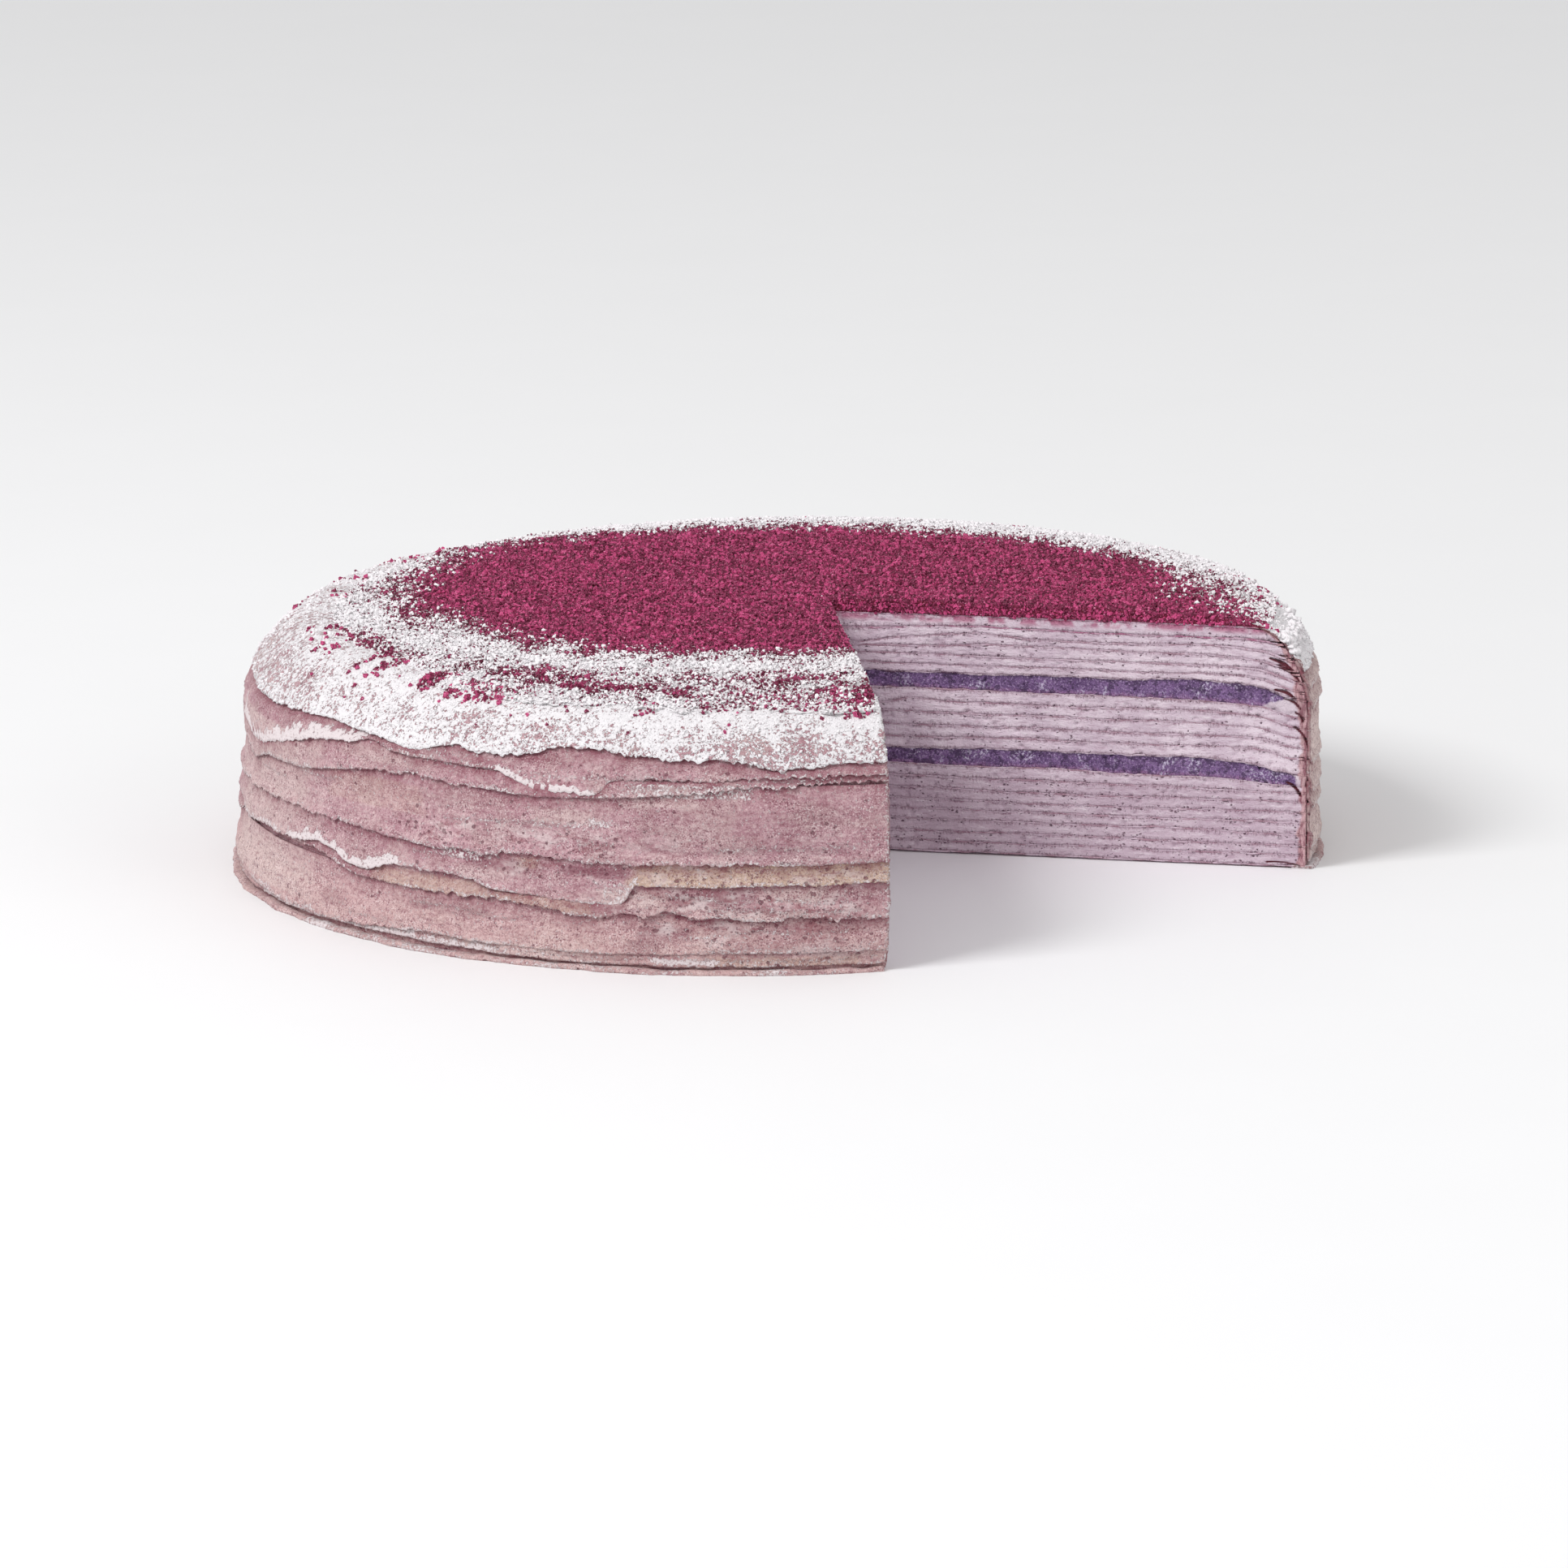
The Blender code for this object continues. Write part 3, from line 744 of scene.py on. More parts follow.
            upwards = smooth(reach * MM * (0.75 + 0.4 * wobble + flecked) - up_from_edge, -0.6 * MM, 0.5 * MM)
            hem = np.maximum(hem, strength * sideways * upwards)
    pored = np.zeros(count)
    for first, final, low, high, strength in PORED:
        sideways = smooth(np.minimum(degrees - first, final - degrees) + 2 * wobble, -1.5, 2)
        upright = smooth(np.minimum(height - low * MM, high * MM - height) / MM + wobble, -0.6, 1.0)
        pored = np.maximum(pored, strength * sideways * upright)
    outer_only = {
        "sugar": sugar_on_shoulder(degrees, height, around) if number == CREPES else np.zeros(count),
        "spill": spilled_crumbs(degrees, height, around) if number == CREPES else np.zeros(count),
        "heap": (smooth(height, 44.3 * MM, 45.2 * MM) * smooth(-height, -48.2 * MM, -47.4 * MM)
                 * smooth(-degrees, -6, 2) * (number == CREPES)),
    }
    values = {
        "lace": np.maximum(smooth(-up_from_edge, -1.3 * MM, 0)
                           * np.clip(0.5 + 0.9 * noise(around * np.array((1, 1, 0.1)), 9 * MM, 95), 0, 1),
                           np.maximum(0.7 * lines, 0.8 * at_front_cut)),
        # painted shadow with some dark red stain in it, strongest at the hem of the crepe above and fading away from
        # it; none on the highest crepe and less on the lowest
        "shade": np.exp(-np.abs(down_from_above) / (1.9 * MM)) * (0.35 if number == 4 else number < CREPES),
        "beige": patch_strength("beige", number, degrees, height, wobble),
        # the dark finish also holds painted shade right at the right cut, between the ends of the folded skins
        "dark": np.maximum(patch_strength("dark", number, degrees, height, wobble), 0.6 * smooth(at_right_cut, 0.7, 1.0)),
        "white": np.maximum(patch_strength("white", number, degrees, height, wobble), hem),
        # pale towards the right end of the skins: partly pale skin, partly painted light where the thin ends are lit
        # through
        "pale": np.maximum(patch_strength("pale", number, degrees, height, wobble),
                           smooth(-degrees - 2 * wobble, -18, -1)),
        "pored": pored,
    }
    outer_only.update({key: values.pop(key) for key in ("lace", "white", "shade")})
    lined = {key: np.append(value, value.reshape(rows + 1, columns)[kept]) for key, value in values.items()}
    # painted shadow: the underside of each skin, under its lifted hem, is darkened fully
    inner_values = {"shade": 1.0}
    for key, value in outer_only.items():
        lined[key] = np.append(value, np.full(len(kept) * columns, inner_values.get(key, 0.0)))
    shell.add(points, np.vstack([outer, inner, *rims]), np.array(fans), finish=1, **lined)


def spilled_crumbs(turn, height, around):
    """How thickly crumbs have rolled from the bed onto the shoulder, in clusters."""
    clusters = smooth(noise(around, 5 * MM, 151), 0.05, 0.5)
    near = smooth(height, 48.2 * MM, 50.2 * MM) * (0.22 + 0.78 * smooth(turn, 205, 222) + 0.5 * smooth(-turn, -8, 2))
    few = 0.02 * smooth(height, 43 * MM, 47 * MM) * smooth(turn, 190, 215)
    return np.clip(clusters * near + few, 0, 1)


def sugar_on_shoulder(turn, height, around):
    """Share of the highest crepe that the powder covers."""
    front = smooth(turn, 194, 212)
    right = smooth(-turn, -40, -5) * smooth(turn, -30, -16)
    cover = 0.53 + 0.11 * front + 0.25 * right
    cover = cover + 0.10 * smooth(height, 46 * MM, 49.5 * MM)
    cover = cover - 0.14 * smooth(turn, 258, 264) * smooth(-height, -48 * MM, -45 * MM)
    cover = cover + 0.14 * rough(around, 9 * MM, 98) + 0.10 * noise(around, 3.5 * MM, 99)
    low = smooth(-height, -43.5 * MM, -41 * MM)
    return np.clip(cover + 0.10 * low, 0, 0.95)


# ---------------------------------------------------------------- crumbs and sugar

BED_RINGS = ((0.0, 2.75), (36, 2.75), (66, 2.65), (85, 2.15), (94, 1.35), (101, 0.75), (104, 0.2))


def bed_depth(radius):
    at, depth = np.array(BED_RINGS).T * MM
    return np.interp(radius, at, depth)


def ring_cover(x, y):
    """Share of the crumb bed that powder covers: none in the middle, most in the ring."""
    x = x - LEAN * STACK_TOP
    turn = degrees_round(x, y)
    turn = np.where(turn < -60, turn + 360, turn)
    table = np.array(SUGAR_COVER)
    columns = np.stack([np.zeros(len(x))] + [np.interp(turn, table[:, 0], column) for column in table[:, 1:].T])
    spot = np.clip((np.hypot(x, y) - COVER_START) / COVER_STEP + 1, 0, len(columns) - 1.001)
    low = spot.astype(int)
    part = spot - low
    each = np.arange(len(x))
    share = (columns[low, each] * (1 - part) + columns[low + 1, each] * part) / 100
    where = np.column_stack([x, y, np.zeros(len(x))])
    patchy = 0.16 * noise(where, 4.5 * MM, 108) + 0.10 * noise(where, 2.0 * MM, 109)
    cover = 0.47 + 0.70 * (share - 0.5) + patchy * (1 - np.abs(2 * share - 1) ** 2)
    return np.clip(cover * smooth(share, 0.0, 0.08), 0, 1)


def bed_shell(shell, step):
    """The crumb bed: a lumpy top over its own outline, walls at the cuts, and a flat underside."""
    angle, share, cut = outline(step, step)
    rim_radius = 101.5 * MM
    rim = spot_on(rim_radius, angle, share, STACK_TOP)
    wave = np.column_stack([rim, np.zeros(len(rim))])
    away = rim - HUB
    away /= np.linalg.norm(away, axis=1)[:, None]
    ragged = (2.0 * MM * rough(wave, 8 * MM, 111) + 0.7 * MM * noise(wave, 2 * MM, 112)) * (cut == 0)
    rim = rim + away * ragged[:, None]
    count = len(rim)
    reach = 120 * MM
    across = np.arange(-reach, reach, step)
    upward = np.arange(-reach, reach, step * math.sqrt(3) / 2)
    x, y = np.meshgrid(across, upward)
    x = x + 0.5 * step * (np.arange(len(upward)) % 2)[:, None]
    spots = np.column_stack([x.ravel(), y.ravel()])
    spots = spots + 0.28 * step * np.column_stack([
        noise(np.column_stack([spots, np.zeros(len(spots))]), 0.37 * step, 115),
        noise(np.column_stack([spots, np.ones(len(spots))]), 0.37 * step, 116)])
    centred = spots - TIP
    turn = np.arctan2(centred[:, 1], centred[:, 0])
    turn = np.where(turn < RIGHT_CUT - 1e-9, turn + math.tau, turn)
    inside = turn < FRONT_CUT
    for direction, sign in ((RIGHT_CUT, 1), (FRONT_CUT, -1)):
        toward = np.array((math.cos(direction), math.sin(direction)))
        gap = sign * (toward[0] * centred[:, 1] - toward[1] * centred[:, 0])
        beside = (centred @ toward) > 0
        inside &= ~beside | (gap > 0.6 * step) | (gap < -reach)
    limit = np.interp(turn, angle[cut == 0][1:], np.linalg.norm(rim - TIP, axis=1)[cut == 0][1:])
    inside &= np.linalg.norm(centred, axis=1) < limit - 0.6 * step
    spots = spots[inside]
    flat = [Vector(point) for point in np.vstack([rim, spots])]
    edges = [(place, (place + 1) % count) for place in range(count)]
    found, _, faces, *_ = delaunay_2d_cdt(flat, edges, [list(range(count))], 1, 1e-9)
    flat = np.array(found)
    faces = np.array(faces)
    centred = flat - np.array((LEAN * STACK_TOP, 0))
    radius = np.linalg.norm(centred, axis=1)
    where = np.column_stack([flat, np.zeros(len(flat))])
    dome, number = grains(where, 1.15 * MM, 121)
    small, other = grains(where, 0.6 * MM, 131)
    depth = bed_depth(radius)
    lumps = np.clip(depth / (1.2 * MM), 0.15, 1)
    height = STACK_TOP + depth - sag(radius, STACK_TOP)
    height += lumps * (0.20 * MM * rough(where, 9 * MM, 141) + 0.16 * MM * noise(where, 3 * MM, 143))
    height += lumps * (0.85 * MM * (0.6 - dome) * (0.35 + number) + 0.3 * MM * (0.6 - small) * other)
    top_count = len(flat)
    ring = np.arange(count)
    after = (ring + 1) % count
    base = crepe_surface(CREPES, *flat[:count].T) + 0.02 * MM
    height[:count] = np.maximum(height[:count], base + 0.25 * MM)
    points = [np.column_stack([flat, height])]
    normals = CUT_NORMALS[cut.astype(int)]
    rows = 6
    start_row, quads = 0, []
    for row in range(1, rows + 1):
        part = row / rows
        level = height[:count] + part * (base - height[:count])
        at = np.column_stack([flat[:count], level])
        dome, number = grains(at, 1.1 * MM, 121)
        out = (0.55 * MM * (0.55 - dome) * (0.4 + number) + 0.2 * MM * rough(at, 2.5 * MM, 145)) * (row < rows)
        at[:, :2] += (out * (cut > 0))[:, None] * normals
        first = top_count + (row - 1) * count
        upper = ring if row == 1 else ring + first - count
        upper_after = after if row == 1 else after + first - count
        quads.append(np.column_stack([first + ring, first + after, upper_after, upper]))
        points.append(at)
    last = top_count + (rows - 1) * count
    points.append(np.array([(*HUB, STACK_TOP)]))
    hub = last + count
    triangles = np.vstack([faces, np.column_stack([last + after, last + ring, np.full(count, hub)])])
    points = np.vstack(points)
    is_top = np.arange(len(points)) < top_count
    wall = (np.arange(len(points)) >= top_count) & (points[:, 2] > STACK_TOP + 0.2 * MM)
    at_cut = np.zeros(len(points))
    at_cut[top_count:top_count + rows * count] = np.tile(cut > 0, rows)
    outer_wall = np.zeros(len(points))
    outer_wall[top_count:top_count + rows * count] = np.tile(cut == 0, rows)
    cover = ring_cover(points[:, 0], points[:, 1]) * is_top + 0.85 * outer_wall
    cover[:count] = np.maximum(cover[:count], 0.75 * (cut == 0))
    shell.add(points, np.vstack(quads), triangles, sugar=cover, raw=at_cut,
              strewn=is_top * np.clip(depth_at(points) / (0.9 * MM), 0.25, 1), edging=wall * at_cut,
              clumps=is_top * clump_share(points, cover))


def clump_share(points, cover):
    """Where crumbs stick together in bigger clumps: near the rim, where there is less powder."""
    x = points[:, 0] - LEAN * STACK_TOP
    radius = np.hypot(x, points[:, 1])
    turn = degrees_round(x, points[:, 1])
    front = smooth(turn, 165, 190)
    gathered = smooth(noise(points * np.array((1, 1, 0)), 4 * MM, 181), -0.1, 0.3)
    return gathered * front * smooth(radius, 82 * MM, 88 * MM) * smooth(-cover, -0.62, -0.35)


def depth_at(points):
    return bed_depth(np.hypot(points[:, 0] - LEAN * STACK_TOP, points[:, 1]))


# ---------------------------------------------------------------- node building

class Nodes:
    """Adds nodes to a tree and joins them up."""

    def __init__(self, tree):
        self.tree = tree

    def put(self, socket, value):
        if isinstance(value, bpy.types.NodeSocket):
            self.tree.links.new(value, socket)
        else:
            socket.default_value = value

    def add(self, kind, inputs=(), **settings):
        made = self.tree.nodes.new(kind)
        for name, value in settings.items():
            setattr(made, name, value)
        for socket, value in dict(inputs).items():
            self.put(made.inputs[socket], value)
        return made

    def math(self, operation, first, second=0.5, third=None, clamp=False):
        inputs = {0: first, 1: second}
        if third is not None:
            inputs[2] = third
        return self.add("ShaderNodeMath", inputs, operation=operation, use_clamp=clamp).outputs[0]

    def mix(self, share, first, second, blend="MIX"):
        made = self.add("ShaderNodeMix", {0: share}, data_type="RGBA", blend_type=blend)
        self.put(made.inputs[6], first)
        self.put(made.inputs[7], second)
        return made.outputs[2]

    def rise(self, value, start, end):
        """0 below start, 1 above end, and smooth between."""
        made = self.add("ShaderNodeMapRange", {0: value, 1: start, 2: end}, interpolation_type="SMOOTHSTEP")
        return made.outputs[0]

    def noise(self, vector, size, detail=3.0, roughness=0.55):
        made = self.add("ShaderNodeTexNoise", {"Vector": vector, "Scale": 1 / size, "Detail": detail,
                                               "Roughness": roughness})
        return made.outputs["Fac"]

    def value(self, name):
        return self.add("ShaderNodeAttribute", attribute_name=name).outputs["Fac"]


def colour(red, green, blue):
    """A colour given as it looks on a screen, as Blender's own linear one."""
    linear = [((part / 255 + 0.055) / 1.055) ** 2.4 if part > 10 else part / 255 / 12.92
              for part in (red, green, blue)]
    return (*linear, 1.0)


def shader_group(name, inputs, outputs, build):
    """A shader node group with named sockets: (name, kind, default) for each input."""
    if name in bpy.data.node_groups:
        return bpy.data.node_groups[name]
    tree = bpy.data.node_groups.new(name, "ShaderNodeTree")
    for label, kind, default in inputs:
        socket = tree.interface.new_socket(label, in_out="INPUT", socket_type=kind)
        if default is not None:
            socket.default_value = default
    for label, kind in outputs:
        tree.interface.new_socket(label, in_out="OUTPUT", socket_type=kind)
    nodes = Nodes(tree)
    entry = nodes.add("NodeGroupInput").outputs
    made = build(nodes, entry)
    leave = nodes.add("NodeGroupOutput")
    for label, value in made.items():
        nodes.put(leave.inputs[label], value)
    return tree


def powder_group():
    """White powder in ragged clumps and flecks that cover a given share of a surface."""
    def build(nodes, entry):
        where, size = entry["Position"], entry["Clump"]
        parts = []
        for share, weight in ((1.0, 0.34), (0.36, 0.42), (0.13, 0.24)):
            scale = nodes.math("DIVIDE", 1.0 / share, size)
            made = nodes.add("ShaderNodeTexNoise", {"Vector": where, "Scale": scale, "Detail": 2.0, "Roughness": 0.6})
            parts.append(nodes.math("MULTIPLY", made.outputs["Fac"], weight))
        pattern = nodes.math("ADD", nodes.math("ADD", parts[0], parts[1]), parts[2])
        cover = entry["Cover"]
        threshold = nodes.math("MULTIPLY_ADD", cover, -0.30, 0.65)
        above = nodes.math("SUBTRACT", pattern, threshold)
        mask = nodes.rise(above, -0.012, 0.018)
        any_cover = nodes.rise(cover, 0.02, 0.10)
        mask = nodes.math("MULTIPLY", mask, any_cover)
        return {"Mask": mask, "Height": nodes.math("MULTIPLY", nodes.math("MULTIPLY", pattern, mask), 2.0)}
    return shader_group(
        "powder", (("Position", "NodeSocketVector", None), ("Cover", "NodeSocketFloat", 0.5),
                   ("Clump", "NodeSocketFloat", 0.002)),
        (("Mask", "NodeSocketFloat"), ("Height", "NodeSocketFloat")), build)


def pores_group():
    """Small round holes of uneven size, where amount says how many there are."""
    def build(nodes, entry):
        where = entry["Position"]
        size = entry["Spacing"]
        scale = nodes.math("DIVIDE", 1.0, size)
        swirl = nodes.add("ShaderNodeTexNoise", {"Vector": where, "Scale": 2000.0, "Detail": 1.0}).outputs["Color"]
        push = nodes.add("ShaderNodeVectorMath", {0: swirl, 1: (0.0005, 0.0005, 0.0005)}, operation="MULTIPLY").outputs[0]
        moved = nodes.add("ShaderNodeVectorMath", {0: where, 1: push}, operation="ADD").outputs[0]
        bent = nodes.add("ShaderNodeVectorMath", {0: moved, 1: entry["Stretch"]}, operation="MULTIPLY").outputs[0]
        cell = nodes.add("ShaderNodeTexVoronoi", {"Vector": bent, "Scale": scale, "Randomness": 1.0})
        tint = nodes.add("ShaderNodeSeparateColor", {0: cell.outputs["Color"]})
        radius = nodes.math("MULTIPLY_ADD", tint.outputs[0], 0.26, 0.10)
        chosen = nodes.math("LESS_THAN", tint.outputs[1], entry["Amount"])
        inside = nodes.rise(nodes.math("SUBTRACT", radius, cell.outputs["Distance"]), -0.04, 0.07)
        return {"Mask": nodes.math("MULTIPLY", inside, chosen)}
    return shader_group(
        "pores", (("Position", "NodeSocketVector", None), ("Spacing", "NodeSocketFloat", 0.001),
                  ("Amount", "NodeSocketFloat", 0.4), ("Stretch", "NodeSocketVector", (1, 1, 1))),
        (("Mask", "NodeSocketFloat"),), build)


def use_group(nodes, tree, **inputs):
    made = nodes.add("ShaderNodeGroup", node_tree=tree)
    for name, value in inputs.items():
        nodes.put(made.inputs[name], value)
    return made.outputs


def new_material(name):
    """A material with a Principled shader, and its node builder."""
    material = bpy.data.materials.new(name)
    material.use_nodes = True
    tree = material.node_tree
    shader = tree.nodes["Principled BSDF"]
    nodes = Nodes(tree)
    where = nodes.add("ShaderNodeTexCoord").outputs["Object"]
    return material, nodes, shader, where


def fluffy_normal(nodes, amount):
    """The surface's normal leant upwards, the way powder scatters light: amount 0 leaves it as it is."""
    normal = nodes.add("ShaderNodeNewGeometry").outputs["Normal"]
    lean = nodes.add("ShaderNodeCombineXYZ", {2: amount}).outputs[0]
    leant = nodes.add("ShaderNodeVectorMath", {0: normal, 1: lean}, operation="ADD").outputs[0]
    return nodes.add("ShaderNodeVectorMath", {0: leant}, operation="NORMALIZE").outputs[0]


def bumpy(nodes, shader, height, depth, strength=1.0, normal=None):
    """Gives a material fine relief, on top of its usual normal or another."""
    made = nodes.add("ShaderNodeBump", {"Height": height, "Distance": depth, "Strength": strength})
    if normal is not None:
        nodes.put(made.inputs["Normal"], normal)
    nodes.put(shader.inputs["Normal"], made.outputs[0])


def speckled(nodes, where, base, dark, light, size, amount=1.0):
    """Base colour with fine dark and light specks."""
    fine = nodes.noise(where, size, 3.0, 0.6)
    low = nodes.math("MULTIPLY", nodes.rise(fine, 0.46, 0.34), amount)
    high = nodes.math("MULTIPLY", nodes.rise(fine, 0.54, 0.68), amount)
    return nodes.mix(high, nodes.mix(low, base, dark), light)


def cream_material(look):
    """Airy cream: brighter high up, dragged by the knife along the crepes, painted with soft shadow along the seams,
    pored with holes painted dark, and stained under the crumbs.
    """
    material, nodes, shader, where = new_material("whipped_cream")
    seam = nodes.value("seam")
    up = nodes.add("ShaderNodeSeparateXYZ", {0: where}).outputs[2]
    broad = nodes.noise(where, 9 * MM, 3.0)
    base = nodes.mix(nodes.rise(broad, 0.35, 0.65), (*look.cream_shade, 1), (*look.cream, 1))
    low = nodes.rise(up, 20 * MM, 15 * MM)
    base = nodes.mix(nodes.math("MULTIPLY", low, 0.45), base, colour(184, 158, 173))
    flat = nodes.add("ShaderNodeVectorMath", {0: where, 1: (0.3, 0.3, 1.4)}, operation="MULTIPLY").outputs[0]
    streaks = nodes.noise(flat, 0.9 * MM, 4.0, 0.7)
    base = nodes.mix(nodes.math("MULTIPLY", nodes.rise(streaks, 0.48, 0.34), 0.5), base, colour(170, 138, 156))
    base = nodes.mix(nodes.math("MULTIPLY", nodes.rise(streaks, 0.54, 0.70), 0.6), base, colour(240, 230, 236))
    near = nodes.rise(seam, 0.10, 1.0)
    upright = nodes.add("ShaderNodeVectorMath", {0: where, 1: (1.0, 1.0, 0.35)}, operation="MULTIPLY").outputs[0]
    drags = nodes.rise(nodes.noise(upright, 0.42 * MM, 3.0, 0.7), 0.50, 0.64)
    patchy = nodes.rise(nodes.noise(where, 4 * MM, 3.0), 0.36, 0.62)
    dragged = nodes.math("MULTIPLY", nodes.math("MULTIPLY", drags, near), nodes.math("MULTIPLY_ADD", patchy, 0.75, 0.2))
    # painted shade: a soft mauve shadow beside each seam, where the cut dips between cream and crepe
    beside = nodes.math("MULTIPLY", nodes.rise(seam, 0.45, 1.0), nodes.math("MULTIPLY_ADD", patchy, 0.6, 0.25))
    base = nodes.mix(nodes.math("MULTIPLY", beside, 0.7), base, colour(178, 146, 164))
    base = nodes.mix(nodes.math("MULTIPLY", dragged, 0.85), base, colour(150, 108, 128))
    clusters = nodes.rise(nodes.noise(where, 5 * MM, 3.0), 0.42, 0.62)
    crowd = nodes.math("MULTIPLY_ADD", clusters, 0.9, 0.2)
    amount = nodes.math("MULTIPLY", nodes.math("MULTIPLY_ADD", near, 0.45, 0.10), crowd)
    amount = nodes.math("MULTIPLY", amount, nodes.math("MULTIPLY_ADD", low, 0.8, 1.0))
    holes = use_group(nodes, pores_group(), Position=where, Spacing=0.62 * MM, Amount=amount, Stretch=(0.7, 0.7, 1.1))
    small = use_group(nodes, pores_group(), Position=where, Spacing=0.36 * MM,
                      Amount=nodes.math("MULTIPLY", amount, 0.8), Stretch=(0.8, 0.8, 1.0))
    # painted shade: the pores are coloured dark, as shade inside each hole
    base = nodes.mix(nodes.math("MULTIPLY", small["Mask"], 0.6), base, colour(122, 90, 108))
    base = nodes.mix(nodes.math("MULTIPLY", holes["Mask"], 0.85), base, colour(92, 60, 78))
    stain = nodes.math("MULTIPLY", nodes.rise(up, 48.9 * MM, 50.2 * MM), nodes.rise(patchy, 0.0, 0.8))
    base = nodes.mix(nodes.math("MULTIPLY", stain, 0.8), base, colour(178, 92, 128))
    base = gathered_skins(nodes, where, base)
    nodes.put(shader.inputs["Base Color"], base)
    shader.inputs["Roughness"].default_value = 0.62
    shader.inputs["Specular IOR Level"].default_value = 0.35
    fine = nodes.noise(where, 0.4 * MM, 3.0)
    height = nodes.math("SUBTRACT", nodes.math("MULTIPLY", fine, 0.8), holes["Mask"])
    height = nodes.math("SUBTRACT", height, nodes.math("MULTIPLY", small["Mask"], 0.5))
    height = nodes.math("ADD", height, nodes.math("MULTIPLY", streaks, 1.3))
    height = nodes.math("SUBTRACT", height, nodes.math("MULTIPLY", dragged, 0.8))
    bumpy(nodes, shader, height, 0.3 * MM, 0.9)
    return material


def gathered_skins(nodes, where, base):
    """Tints a cut where skins lie on each other at its outer end, and paints shade into the gaps between them."""
    upright = nodes.add("ShaderNodeVectorMath", {0: where, 1: (1.0, 1.0, 0.22)}, operation="MULTIPLY").outputs[0]
    folds = nodes.noise(upright, 0.7 * MM, 3.0, 0.6)
    brown = nodes.mix(nodes.rise(folds, 0.38, 0.60), colour(140, 80, 92), colour(204, 162, 166))
    base = nodes.mix(nodes.math("MULTIPLY", nodes.value("gathered"), 0.92), base, brown)
    # painted shade: the fold gaps are coloured dark red
    return nodes.mix(nodes.rise(nodes.value("pit"), 0.15, 0.7), base, colour(104, 40, 54))


